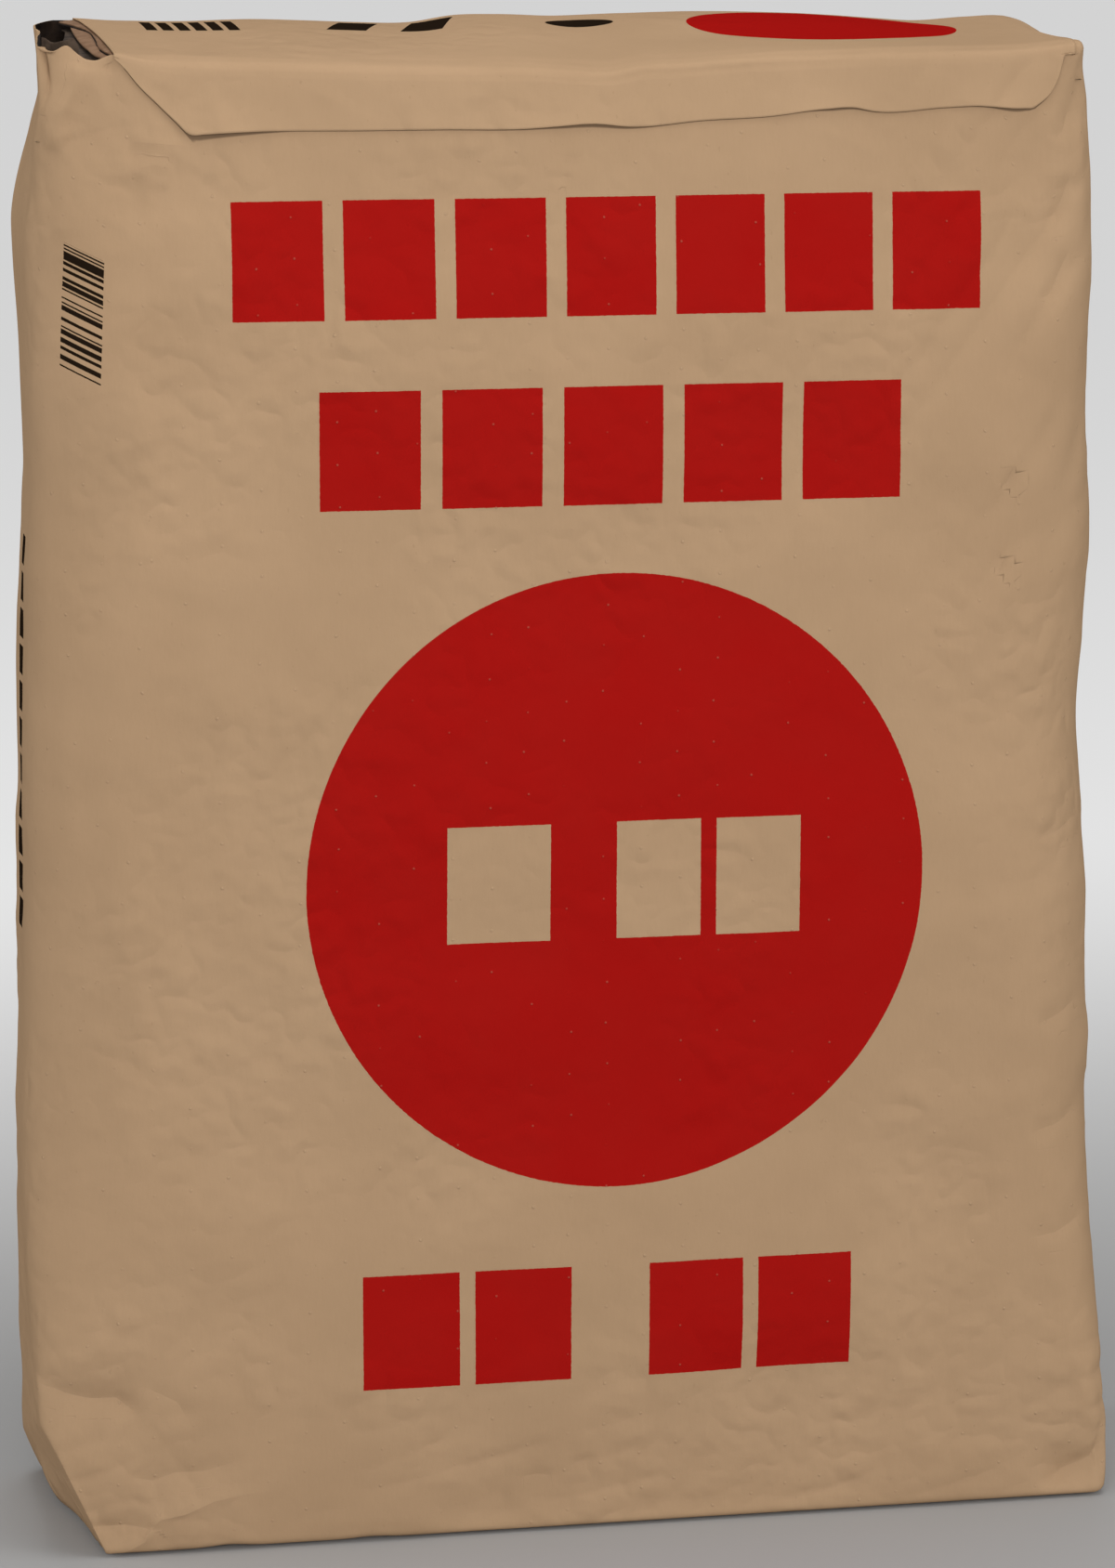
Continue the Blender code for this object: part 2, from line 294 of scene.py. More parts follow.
@dataclass(frozen=True)
class BagForm:
    """The filled bag as a surface: its outline at each height, its top, and its relief."""

    foot_height: float = 1.2 * MM
    bottom_radius: float = 2.5 * MM
    top_radius: float = 3.2 * MM
    lip_radius: float = 0.5 * MM
    front_bulge: float = 2.2 * MM
    left: Curve = Curve((
        (0.0, 0.2045), (0.010, 0.2055), (0.029, 0.2068), (0.043, 0.2069), (0.057, 0.2072),
        (0.071, 0.2080), (0.096, 0.2088), (0.130, 0.2090), (0.187, 0.2086), (0.223, 0.2078),
        (0.250, 0.2068), (0.290, 0.2055), (0.336, 0.2046), (0.372, 0.2031), (0.397, 0.2017),
        (0.411, 0.2008), (0.4187, 0.2010), (0.454, 0.2018), (0.480, 0.2017), (0.500, 0.2014),
        (0.5138, 0.2008), (0.5277, 0.2002), (0.538, 0.1998), (0.550, 0.1984), (0.5616, 0.1990),
        (0.575, 0.1998),
    ))
    right: Curve = Curve((
        (0.0, 0.2100), (0.006, 0.2108), (0.021, 0.2106), (0.052, 0.2093), (0.091, 0.2072),
        (0.115, 0.2060), (0.133, 0.2052), (0.156, 0.2050), (0.186, 0.2062), (0.223, 0.2052),
        (0.238, 0.2048), (0.259, 0.2040), (0.272, 0.2040), (0.290, 0.2024), (0.308, 0.2004),
        (0.341, 0.2024), (0.370, 0.2034), (0.390, 0.2032), (0.413, 0.2014), (0.442, 0.1998),
        (0.462, 0.1993), (0.4835, 0.2000), (0.500, 0.1992), (0.520, 0.1980), (0.537, 0.1962),
        (0.551, 0.1944), (0.563, 0.1918), (0.575, 0.1907),
    ))
    front: Curve = Curve((
        (0.0, 0.0548), (0.020, 0.0562), (0.035, 0.0573), (0.050, 0.0579), (0.070, 0.0583),
        (0.110, 0.0582), (0.150, 0.0581), (0.200, 0.0583), (0.300, 0.0584), (0.380, 0.0579),
        (0.420, 0.0577), (0.455, 0.0576), (0.480, 0.0570), (0.500, 0.0560), (0.520, 0.0549),
        (0.545, 0.0538), (0.575, 0.0530),
    ))
    back: Curve = Curve((
        (0.0, 0.0545), (0.030, 0.0560), (0.100, 0.0580), (0.200, 0.0592), (0.300, 0.0592),
        (0.420, 0.0582), (0.500, 0.0565), (0.545, 0.0545), (0.575, 0.0538),
    ))
    radius_front_left: Curve = Curve((
        (0.0, 0.003), (0.030, 0.006), (0.055, 0.014), (0.090, 0.027), (0.130, 0.036),
        (0.280, 0.043), (0.420, 0.038), (0.480, 0.030), (0.525, 0.017), (0.550, 0.0065),
        (0.575, 0.004),
    ))
    radius_front_right: Curve = Curve((
        (0.0, 0.005), (0.030, 0.009), (0.070, 0.018), (0.130, 0.030), (0.200, 0.038),
        (0.300, 0.041), (0.420, 0.035), (0.480, 0.026), (0.520, 0.020), (0.545, 0.017),
        (0.560, 0.011), (0.568, 0.005), (0.575, 0.003),
    ))
    radius_back: Curve = Curve((
        (0.0, 0.006), (0.040, 0.016), (0.100, 0.034), (0.280, 0.042), (0.450, 0.034),
        (0.530, 0.015), (0.575, 0.007),
    ))
    ridge: Curve = Curve((
        (-0.2030, 0.5715), (-0.1964, 0.5695), (-0.1931, 0.5686), (-0.1871, 0.5704),
        (-0.1832, 0.5661), (-0.1789, 0.5650), (-0.1715, 0.5670), (-0.1680, 0.5663),
        (-0.1459, 0.5647), (-0.1223, 0.5638), (-0.0782, 0.5620), (-0.0441, 0.5612),
        (-0.0197, 0.5607), (-0.0090, 0.5599), (0.0139, 0.5592), (0.0200, 0.5606),
        (0.0371, 0.5615), (0.0668, 0.5634), (0.0949, 0.5641), (0.1125, 0.5650),
        (0.1479, 0.5656), (0.1693, 0.5661), (0.1800, 0.5673), (0.1900, 0.5690),
    ))
    back_ridge: Curve = Curve((
        (-0.2000, 0.5712), (-0.1817, 0.5742), (-0.1588, 0.5735), (-0.1411, 0.5730),
        (-0.1056, 0.5733), (-0.0877, 0.5726), (-0.0698, 0.5719), (-0.0482, 0.5717),
        (-0.0309, 0.5742), (-0.0142, 0.5744), (0.0090, 0.5736), (0.0247, 0.5741),
        (0.0444, 0.5746), (0.0698, 0.5748), (0.0941, 0.5742), (0.1193, 0.5728),
        (0.1349, 0.5716), (0.1491, 0.5706), (0.1712, 0.5718), (0.1850, 0.5722),
        (0.1930, 0.5712), (0.2050, 0.5650),
    ))
    valve_end: float = -0.1690
    valve_depth: float = 26.0 * MM
    toe_in: float = 9.0 * MM
    presses: tuple[Press, ...] = (
        Press((-0.1820, -0.0590, 0.0), (-1.0, -0.150, -0.449), 0.8 * MM),
        Press((0.2050, 0.0500, 0.0), (0.80, 0.45, -0.40), 2.0 * MM),
        Press((-0.2020, 0.0540, 0.004), (-0.50, 0.80, -0.33), 2.0 * MM),
        Press((0.1930, 0.0540, 0.565), (0.72, 0.55, 0.42), 1.5 * MM),
    )

    def top_height(self, x: np.ndarray, y: np.ndarray) -> np.ndarray:
        """Height of the folded top: from the front ridge it climbs, fast and then slowly, to
        the back ridge, with a shallow fold line behind the front ridge."""
        depth = 0.0545
        share = np.clip((y + depth) / (2.0 * depth), 0.0, 1.0)
        climb = 1.0 - (1.0 - share) ** 2.1
        low, high = self.ridge.at(x), self.back_ridge.at(x)
        height = low + (high - low) * climb
        behind = hump(y, -0.0475, 0.0028) * rise(-0.16, -0.08, x) * (1.0 - rise(0.03, 0.09, x))
        sag = 1.2 * MM * hump(x, 0.06, 0.11) * hump(y, -0.012, 0.020)
        right_end = 3.5 * MM * rise(0.1795, 0.1895, x) * hump(y, -0.012, 0.026)
        return height - 0.7 * MM * behind - sag - right_end

    def bulge(self, share: np.ndarray, height: np.ndarray) -> np.ndarray:
        """How far a broad face stands out, by the share of the way across it and the height."""
        bulge = self.front_bulge * np.sin(np.pi * np.clip(share, 0.0, 1.0)) ** 1.3
        return bulge * rise(0.0, 0.10, height) * (1.0 - rise(0.45, 0.56, height))

    def outline(
        self, side: np.ndarray, share: np.ndarray, height: np.ndarray, inset: np.ndarray
    ) -> np.ndarray:
        """The sack's plan at a height: a rectangle with round corners, moved in by an inset.

        Args:
            side: Which stretch of the outline, from 0: front, front right corner, right, back
                right corner, back, back left corner, left, front left corner.
            share: How far along that stretch, from 0 to 1, counter-clockwise from above.
            height: Height at which the outline is read.
            inset: How far inside the outline.

        Returns:
            x and y, stacked in the last axis.
        """
        left = inset - self.left.at(height)
        right = self.right.at(height) - inset
        front = inset - self.front.at(height)
        back = self.back.at(height) - inset
        room = np.minimum(0.5 * (back - front), 0.5 * (right - left))
        front_left, front_right, rear = (
            np.clip(curve.at(height) - inset, 0.0, np.maximum(room, 0.0))
            for curve in (self.radius_front_left, self.radius_front_right, self.radius_back)
        )
        turn = 0.5 * np.pi * share
        cosine, sine = np.cos(turn), np.sin(turn)
        bulge = self.bulge(share, height) * np.clip(1.0 - inset / 0.02, 0.0, 1.0)
        across = left + front_left + (right - front_right - left - front_left) * share
        across_back = right - rear + (left - right + 2.0 * rear) * share
        up_right = front + front_right + (back - rear - front - front_right) * share
        down_left = back - rear + (front + front_left - back + rear) * share
        x = np.choose(side, [
            across,
            right - front_right + front_right * sine,
            right + 0.0 * share,
            right - rear + rear * cosine,
            across_back,
            left + rear - rear * sine,
            left + 0.0 * share,
            left + front_left - front_left * cosine,
        ])
        y = np.choose(side, [
            front - bulge,
            front + front_right - front_right * cosine,
            up_right,
            back - rear + rear * sine,
            back + bulge,
            back - rear + rear * cosine,
            down_left,
            front + front_left - front_left * sine,
        ])
        deep = np.clip((y + HALF_DEPTH) / (2.0 * HALF_DEPTH), 0.0, 1.0)
        deep = deep * np.clip((-0.150 - x) / 0.030, 0.0, 1.0)
        x = x + self.toe_in * rise(0.500, 0.555, height) * deep
        return np.stack([x, y], axis=-1)

    def front_face(self, x: np.ndarray, height: np.ndarray, back: bool = False) -> np.ndarray:
        """y of the front (or back) wall at a place across the bag, its corners included."""
        left, right = -self.left.at(height), self.right.at(height)
        if back:
            radius_left = radius_right = self.radius_back.at(height)
            depth = self.back.at(height)
        else:
            radius_left = self.radius_front_left.at(height)
            radius_right = self.radius_front_right.at(height)
            depth = self.front.at(height)
        into_left = np.clip(left + radius_left - x, 0.0, radius_left * 0.999)
        into_right = np.clip(x - (right - radius_right), 0.0, radius_right * 0.999)
        dip = radius_left - np.sqrt(radius_left**2 - into_left**2)
        dip = dip + radius_right - np.sqrt(radius_right**2 - into_right**2)
        share = (x - left - radius_left) / (right - radius_right - left - radius_left)
        depth = depth - dip + self.bulge(share, height)
        return depth if back else -depth


def crease(
    line: tuple[tuple[float, float], ...], depth: float, left: float, right: float,
    fold: Fold = Fold.VALLEY, blunt: float = 0.5, start: float = 0.35, end: float = 0.35,
    crisp: float = 0.0,
) -> Crease:
    """A crease whose line is in metres, and whose depth and widths are in millimetres."""
    return Crease(
        line, depth * MM, left * MM, right * MM, fold, blunt * MM, start, end, crisp * MM
    )


FRONT_CREASES: tuple[Crease, ...] = (
    # Under the filling valve, where the corner was pinched shut
    crease(((-0.1985, 0.5700), (-0.1956, 0.5634), (-0.1950, 0.5580), (-0.1957, 0.5539),
            (-0.1975, 0.5480), (-0.1989, 0.5447)),
           3.60, 3.0, 4.0, start=0.05, end=0.75, crisp=0.70),
    crease(((-0.1843, 0.5645), (-0.1861, 0.5572), (-0.1872, 0.5539), (-0.1893, 0.5500),
            (-0.1917, 0.5467), (-0.1931, 0.5414), (-0.1929, 0.5367), (-0.1909, 0.5331)),
           3.00, 6.5, 3.6, Fold.RIDGE, 1.2, 0.10, 0.20, crisp=0.16),
    crease(((-0.2005, 0.5473), (-0.2011, 0.5407), (-0.2020, 0.5360)),
           1.60, 2.5, 3.0, start=0.2, end=0.3, crisp=0.50),
    crease(((-0.1790, 0.5560), (-0.1830, 0.5440), (-0.1870, 0.5330), (-0.1880, 0.5200)),
           1.20, 9.0, 7.0, blunt=3.0, start=0.3, end=0.3),
    crease(((-0.1733, 0.5650), (-0.1727, 0.5635), (-0.1748, 0.5622)),
           0.75, 1.5, 2.0, crisp=0.25),
    crease(((-0.2008, 0.5479), (-0.2020, 0.5372), (-0.2032, 0.5289)),
           0.75, 2.0, 2.5, crisp=0.30),
    crease(((-0.1661, 0.5362), (-0.1544, 0.5352), (-0.1440, 0.5342)),
           1.25, 4.5, 9.0, Fold.RIDGE, 0.8, crisp=0.22),
    crease(((-0.1660, 0.5262), (-0.1579, 0.5277), (-0.1500, 0.5262)),
           0.75, 4.5, 7.0, Fold.RIDGE, 0.8, crisp=0.18),
    # Under the top cover sheet
    crease(((-0.0063, 0.5300), (-0.0078, 0.5212), (-0.0029, 0.5213)),
           0.52, 5.0, 2.0, crisp=0.25),
    # Beside the top cover sheet's right corner
    crease(((0.1870, 0.5300), (0.1890, 0.5480), (0.1895, 0.5640)),
           2.4, 9.0, 3.0, blunt=1.5, start=0.5, end=0.5),
    # Arrow shaped nicks down the right edge, and the soft bands that lean with them
    crease(((0.1770, 0.5337), (0.1823, 0.5340), (0.1841, 0.5381), (0.1865, 0.5440)),
           0.9, 6.0, 2.6, start=0.3, end=0.3, crisp=0.45),
    crease(((0.1740, 0.5031), (0.1801, 0.5040), (0.1825, 0.5098), (0.1866, 0.5200)),
           1.1, 7.0, 3.0, start=0.3, end=0.3, crisp=0.55),
    crease(((0.1720, 0.4736), (0.1774, 0.4745), (0.1805, 0.4811), (0.1858, 0.4915)),
           1.1, 7.0, 3.0, start=0.3, end=0.3, crisp=0.55),
    crease(((0.1590, 0.4020), (0.1615, 0.4048), (0.1640, 0.4110)),
           0.20, 4.0, 4.0, start=0.3, end=0.3, crisp=0.70),
    crease(((0.1570, 0.3695), (0.1595, 0.3720), (0.1618, 0.3780)),
           0.20, 4.0, 4.0, start=0.3, end=0.3, crisp=0.70),
    crease(((0.1600, 0.5120), (0.1726, 0.5300), (0.1771, 0.5407)),
           1.2, 9.0, 9.0, blunt=5.0),
    crease(((0.1560, 0.4800), (0.1767, 0.5044), (0.1819, 0.5165)),
           1.3, 9.0, 9.0, blunt=5.0),
    # Nicks in a row down the right rounding
    crease(((0.1760, 0.2660), (0.1870, 0.2680), (0.1975, 0.2730)), 1.0, 5, 2.8,
           end=0.15, crisp=0.35),
    crease(((0.1840, 0.2360), (0.1930, 0.2380), (0.2010, 0.2420)), 0.5, 5, 5,
           blunt=3.0, end=0.15),
    crease(((0.1760, 0.1935), (0.1870, 0.1955), (0.1975, 0.2005)), 1.0, 5, 2.8,
           end=0.15, crisp=0.35),
    crease(((0.1760, 0.1510), (0.1870, 0.1525), (0.1975, 0.1570)), 0.9, 5, 2.8,
           end=0.15, crisp=0.35),
    crease(((0.1760, 0.1085), (0.1870, 0.1100), (0.1980, 0.1145)), 0.9, 5, 2.8,
           end=0.15, crisp=0.35),
    # The bottom right corner, where the folded end stands proud
    crease(((0.1820, 0.0030), (0.1921, 0.0107), (0.1996, 0.0137), (0.2056, 0.0164),
            (0.2120, 0.0240)), 3.90, 9.0, 14.0, start=0.35, end=0.02, crisp=0.35),
    # The bottom left corner
    crease(((-0.2200, 0.0700), (-0.2039, 0.0675), (-0.1881, 0.0640), (-0.1793, 0.0639),
            (-0.1725, 0.0580)), 3.50, 7.5, 13.0, start=0.02, end=0.12, crisp=0.55),
    crease(((-0.1700, 0.0690), (-0.1564, 0.0620), (-0.1512, 0.0520)),
           1.05, 5.0, 4.0, blunt=1.2, crisp=0.25),
    crease(((-0.1660, 0.0665), (-0.1476, 0.0625), (-0.1308, 0.0630)),
           1.35, 9.0, 9.0, Fold.RIDGE, 4.0),
    crease(((-0.1752, 0.0326), (-0.1661, 0.0306), (-0.1575, 0.0334), (-0.1468, 0.0335),
            (-0.1300, 0.0378)), 1.65, 7.0, 9.0, start=0.12, end=0.7, crisp=0.40),
    crease(((-0.1893, 0.0128), (-0.1767, 0.0130), (-0.1660, 0.0110)),
           1.65, 6.0, 6.0, start=0.15, end=0.15, crisp=0.40),
    crease(((-0.1667, 0.0120), (-0.1693, 0.0062), (-0.1797, 0.0002)),
           1.35, 4.0, 3.0, Fold.RIDGE, start=0.1, end=0.2, crisp=0.35),
    crease(((-0.1675, 0.0108), (-0.1635, 0.0152), (-0.1542, 0.0168), (-0.1434, 0.0213),
            (-0.1200, 0.0250)),
           1.65, 7.0, 11.0, Fold.RIDGE, 1.0, 0.1, 0.8, crisp=0.40),
    crease(((-0.2043, 0.0467), (-0.1950, 0.0310), (-0.1870, 0.0143)),
           0.90, 5.0, 5.0, blunt=1.5),
    # Short creases low on the front
    crease(((-0.0250, 0.0228), (-0.0171, 0.0236), (-0.0104, 0.0222)),
           0.75, 3.0, 4.0, crisp=0.25),
    crease(((-0.0276, 0.0030), (-0.0170, 0.0026)), 0.75, 2, 3, crisp=0.20),
)


@dataclass(frozen=True)
class Relief:
    """The lumps and creases that the fill and handling leave in the paper."""

    creases: tuple[Crease, ...] = FRONT_CREASES
    waves: Lumps = Lumps(11, 0.085, (1.35, 1.0, 0.8))
    swells: Lumps = Lumps(23, 0.043, (1.3, 1.0, 0.85))
    dents: Lumps = Lumps(37, 0.021, (1.2, 1.0, 0.9))
    puckers: Lumps = Lumps(59, 0.034, (1.0, 1.4, 1.0))
    tooth: Lumps = Lumps(71, 0.009)
    right_folds: Lumps = Lumps(101, 0.015, (1.0, 1.6, 3.4), 36.0)
    left_folds: Lumps = Lumps(103, 0.014, (1.0, 1.6, 5.0), -6.0)
    cross_folds: Lumps = Lumps(107, 0.013, (3.0, 1.6, 1.0), -14.0)
    crumples: Lumps = Lumps(131, 0.0115, (1.2, 1.4, 0.9), 24.0)
    busy: Lumps = Lumps(137, 0.070)

    def height(self, points: np.ndarray, normals: np.ndarray) -> np.ndarray:
        """How far the paper stands out of the smooth form.

        Args:
            points: Places on the form, (..., 3).
            normals: Outward directions there.

        Returns:
            The move along each normal, in metres: broad waves all over, sharp-crested puckers
            round the corners and sides, and the creases where the paper faces forward.
        """
        x, z = points[..., 0], points[..., 2]
        facing = rise(0.15, 0.75, -normals[..., 1])
        flat = rise(0.75, 0.99, np.abs(normals[..., 1]))
        calm = rise(-0.150, -0.100, x) * (1.0 - rise(0.110, 0.160, x))
        calm = calm * rise(0.060, 0.120, z) * (1.0 - rise(0.500, 0.530, z))
        some = np.clip(0.6 + self.busy.at(points), 0.1, 1.2) * (1.0 - 0.45 * calm)
        height = 1.20 * MM * self.waves.at(points)
        height = height + 1.30 * MM * self.swells.at(points) * (1.0 - 0.3 * calm)
        height = height * (0.45 + 0.55 * flat)
        height = height + 0.80 * MM * self.dents.at(points) * some
        height = height + 0.55 * MM * (0.4 - np.abs(self.crumples.at(points))) * some
        height = height + 0.05 * MM * self.tooth.at(points) * some
        crest = 0.5 - np.abs(self.puckers.at(points))
        height = height + (0.30 + 0.25 * (1.0 - flat)) * MM * crest
        right = rise(0.080, 0.150, x) * rise(0.300, 0.400, z) * facing
        left = rise(-0.130, -0.185, x) * rise(0.060, 0.250, z) * (0.4 + 0.6 * facing)
        low = 1.0 - rise(0.040, 0.140, z)
        height = height + 1.70 * MM * np.abs(self.right_folds.at(points)) * right
        height = height + 1.10 * MM * np.abs(self.left_folds.at(points)) * left
        height = height + 0.80 * MM * np.abs(self.cross_folds.at(points)) * low
        for crease in self.creases:
            height = height + crease.height(x, z) * facing
        return height

    def cores(self, points: np.ndarray, normals: np.ndarray) -> tuple[np.ndarray, np.ndarray]:
        """The sharp folds, for the paper's fine relief.

        Args:
            points: Places on the form, (..., 3).
            normals: Outward directions there.

        Returns:
            For the strongest fold at each place, the signed distance to it and its height.
        """
        x, z = points[..., 0], points[..., 2]
        side, height = np.full(x.shape, 0.02), np.zeros(x.shape)
        for crease in self.creases:
            new_side, new_height = crease.core(x, z)
            stronger = np.abs(new_height) * np.exp(-np.abs(new_side) / 0.003) > (
                np.abs(height) * np.exp(-np.abs(side) / 0.003))
            side = np.where(stronger, new_side, side)
            height = np.where(stronger, new_height, height)
        return side, height * rise(0.15, 0.75, -normals[..., 1])


# Meshes


def sheet_normals(grid: np.ndarray, closed: bool) -> np.ndarray:
    """Unit normals of a grid of points, from the cross product of its two directions.

    Args:
        grid: Points, (rows, columns, 3).
        closed: Whether the last column joins the first.

    Returns:
        Normals of the same shape. They point outward where the rows climb and the columns run
        counter-clockwise seen from above.
    """
    up = np.gradient(grid, axis=0)
    if closed:
        along = 0.5 * (np.roll(grid, -1, axis=1) - np.roll(grid, 1, axis=1))
    else:
        along = np.gradient(grid, axis=1)
    normals = np.cross(along, up)
    size = np.linalg.norm(normals, axis=-1, keepdims=True)
    return normals / np.maximum(size, 1e-12)


def grid_faces(rows: int, columns: int, closed: bool) -> np.ndarray:
    """The quads of a grid, by vertex number, each as lower left, lower right, upper right,
    upper left."""
    row, column = np.meshgrid(
        np.arange(rows - 1), np.arange(columns if closed else columns - 1), indexing="ij"
    )
    after = (column + 1) % columns
    quads = np.stack([
        row * columns + column,
        row * columns + after,
        (row + 1) * columns + after,
        (row + 1) * columns + column,
    ], axis=-1)
    return quads.reshape(-1, 4)


def add_piece(
    name: str,
    points: np.ndarray,
    faces: np.ndarray,
    materials: list[bpy.types.Material],
    face_material: np.ndarray | None = None,
) -> bpy.types.Object:
    """Puts a mesh of quads into the scene.

    Args:
        name: The piece's name.
        points: Vertices, (n, 3).
        faces: Vertex numbers of each quad, (m, 4).
        materials: What the piece is made of.
        face_material: Which of those each face has, the first if left out.

    Returns:
        The new object, smooth shaded, at the origin.
    """
    mesh = bpy.data.meshes.new(name)
    mesh.from_pydata(points.reshape(-1, 3).tolist(), [], faces.tolist())
    for material in materials:
        mesh.materials.append(material)
    if face_material is not None:
        mesh.polygons.foreach_set("material_index", face_material.astype(np.int32))
    mesh.shade_smooth()
    mesh.update()
    piece = bpy.data.objects.new(name, mesh)
    bpy.context.scene.collection.objects.link(piece)
    return piece


def set_uv(piece: bpy.types.Object, values: np.ndarray, faces: np.ndarray) -> None:
    """Gives each face corner its place on the flat paper, in metres.

    Args:
        piece: The object.
        values: u and v of each vertex of each face, (faces, 4, 2).
        faces: The quads, in the mesh's own order.
    """
    layer = piece.data.uv_layers.new(name="Paper")
    layer.data.foreach_set("uv", values.reshape(len(faces) * 8).astype(np.float32))


def set_number(piece: bpy.types.Object, name: str, values: np.ndarray) -> None:
    """Stores a number for each vertex, which a material reads by its name."""
    layer = piece.data.attributes.new(name, "FLOAT", "POINT")
    layer.data.foreach_set("value", values.reshape(-1).astype(np.float32))


def join_seams(piece: bpy.types.Object, distance: float) -> None:
    """Merges the points that meet at seams and poles, and drops the faces that they closed."""
    shape = bmesh.new()
    shape.from_mesh(piece.data)
    bmesh.ops.remove_doubles(shape, verts=shape.verts, dist=distance)
    bmesh.ops.dissolve_degenerate(shape, dist=0.1 * distance, edges=shape.edges)
    shape.to_mesh(piece.data)
    shape.free()


def add_thickness(piece: bpy.types.Object, thickness: float, offset: float) -> None:
    """Gives a sheet of paper its thickness."""
    wall = piece.modifiers.new("paper", "SOLIDIFY")
    wall.thickness = thickness
    wall.offset = offset
    wall.use_even_offset = False
    wall.use_quality_normals = True


def spread(low: float, high: float, count: int, crowd: float = 0.0) -> np.ndarray:
    """Steps from low to high, ends included, closer together near both ends by crowd."""
    share = np.linspace(0.0, 1.0, count)
    share = share - crowd * np.sin(2.0 * np.pi * share) / (2.0 * np.pi)
    return low + (high - low) * share


# Shader helpers


class Shader:
    """One procedural material, and short ways of adding nodes to it."""

    def __init__(self, name: str) -> None:
        """Starts a material with only its surface shader."""
        self.material = bpy.data.materials.new(name)
        self.material.use_nodes = True
        self.nodes = self.material.node_tree.nodes
        self.links = self.material.node_tree.links
        self.surface = self.nodes["Principled BSDF"]
        self.place = self.nodes.new("ShaderNodeTexCoord").outputs["Object"]

    def set(self, name: str, value: object) -> None:
        """Sets a socket of the surface shader, or links it where the value is a socket."""
        self.feed(self.surface.inputs[name], value)

    def feed(self, socket: Socket, value: object) -> None:
        """Puts a number, a colour or another socket into a socket."""
        if isinstance(value, bpy.types.NodeSocket):
            self.links.new(value, socket)
        elif isinstance(value, tuple) and len(value) == 3 and socket.type == "RGBA":
            socket.default_value = (*value, 1.0)
        else:
            socket.default_value = value

    def math(self, operation: str, *values: object, clamp: bool = False) -> Socket:
        """A Math node."""
        node = self.nodes.new("ShaderNodeMath")
        node.operation = operation
        node.use_clamp = clamp
        for socket, value in zip(node.inputs, values):
            self.feed(socket, value)
        return node.outputs[0]

    def plus(self, first: object, second: object) -> Socket:
        """The sum of two masks, held at 1."""
        return self.math("ADD", first, second, clamp=True)

    def times(self, first: object, second: object) -> Socket:
        """The product of two values."""
        return self.math("MULTIPLY", first, second)

    def minus(self, first: object, second: object) -> Socket:
        """The difference of two values."""
        return self.math("SUBTRACT", first, second)

    def ramp(self, value: object, low: float, high: float, to: tuple[float, float]) -> Socket:
        """Eases a value from one range to another, held past its ends."""
        node = self.nodes.new("ShaderNodeMapRange")
        node.interpolation_type = "SMOOTHSTEP"
        self.feed(node.inputs["Value"], value)
        for name, number in zip(("From Min", "From Max", "To Min", "To Max"), (low, high, *to)):
            node.inputs[name].default_value = number
        return node.outputs["Result"]

    def stretch(self, scale: tuple[float, float, float]) -> Socket:
        """The object's own coordinates, scaled."""
        node = self.nodes.new("ShaderNodeMapping")
        node.inputs["Scale"].default_value = scale
        self.links.new(self.place, node.inputs["Vector"])
        return node.outputs["Vector"]

    def noise(
        self, scale: float, detail: float = 2.0, rough: float = 0.5, place: Socket | None = None
    ) -> Socket:
        """A Noise Texture's value."""
        node = self.nodes.new("ShaderNodeTexNoise")
        self.links.new(place or self.place, node.inputs["Vector"])
        node.inputs["Scale"].default_value = scale
        node.inputs["Detail"].default_value = detail
        node.inputs["Roughness"].default_value = rough
        return node.outputs["Fac"]

    def mix(self, share: object, first: object, second: object) -> Socket:
        """Mixes two colours."""
        node = self.nodes.new("ShaderNodeMix")
        node.data_type = "RGBA"
        self.feed(node.inputs["Factor"], share)
        self.feed(node.inputs[6], first)
        self.feed(node.inputs[7], second)
        return node.outputs[2]

    def split(self, vector: Socket) -> tuple[Socket, Socket, Socket]:
        """The three numbers of a vector."""
        node = self.nodes.new("ShaderNodeSeparateXYZ")
        self.links.new(vector, node.inputs[0])
        return node.outputs[0], node.outputs[1], node.outputs[2]

    def number(self, name: str) -> Socket:
        """A number stored on the mesh."""
        node = self.nodes.new("ShaderNodeAttribute")
        node.attribute_name = name
        return node.outputs["Fac"]

    def between(self, value: Socket, low: float, high: float) -> Socket:
        """1 where a value lies between two numbers, else 0."""
        above = self.math("GREATER_THAN", value, low)
        below = self.math("LESS_THAN", value, high)
        return self.times(above, below)

    def bump(self, height: Socket, distance: float, under: Socket | None = None) -> Socket:
        """Fine relief, on top of what another bump gives."""
        node = self.nodes.new("ShaderNodeBump")
        node.inputs["Strength"].default_value = 1.0
        node.inputs["Distance"].default_value = distance
        self.links.new(height, node.inputs["Height"])
        if under is not None:
            self.links.new(under, node.inputs["Normal"])
        return node.outputs["Normal"]


# Finishes


class Ink(Enum):
    """The printing inks, as linear colours."""

    RED = (0.312, 0.0062, 0.0050)
    BLACK = (0.0085, 0.0050, 0.0030)


@dataclass(frozen=True)
class Blocks:
    """A row of plain printed blocks."""

    left: float
    right: float
    low: float
    high: float
    count: int
    gap: float

    def mask(self, shader: Shader, x: Socket, z: Socket) -> Socket:
        """1 on the blocks, which are as wide as fits between the gaps."""
        pitch = (self.right - self.left + self.gap) / self.count
        offset = shader.minus(x, self.left)
        cell = shader.math("FRACT", shader.math("DIVIDE", offset, pitch))
        ink = shader.math("LESS_THAN", cell, 1.0 - self.gap / pitch)
        ink = shader.times(ink, shader.between(x, self.left, self.right))
        return shader.times(ink, shader.between(z, self.low, self.high))


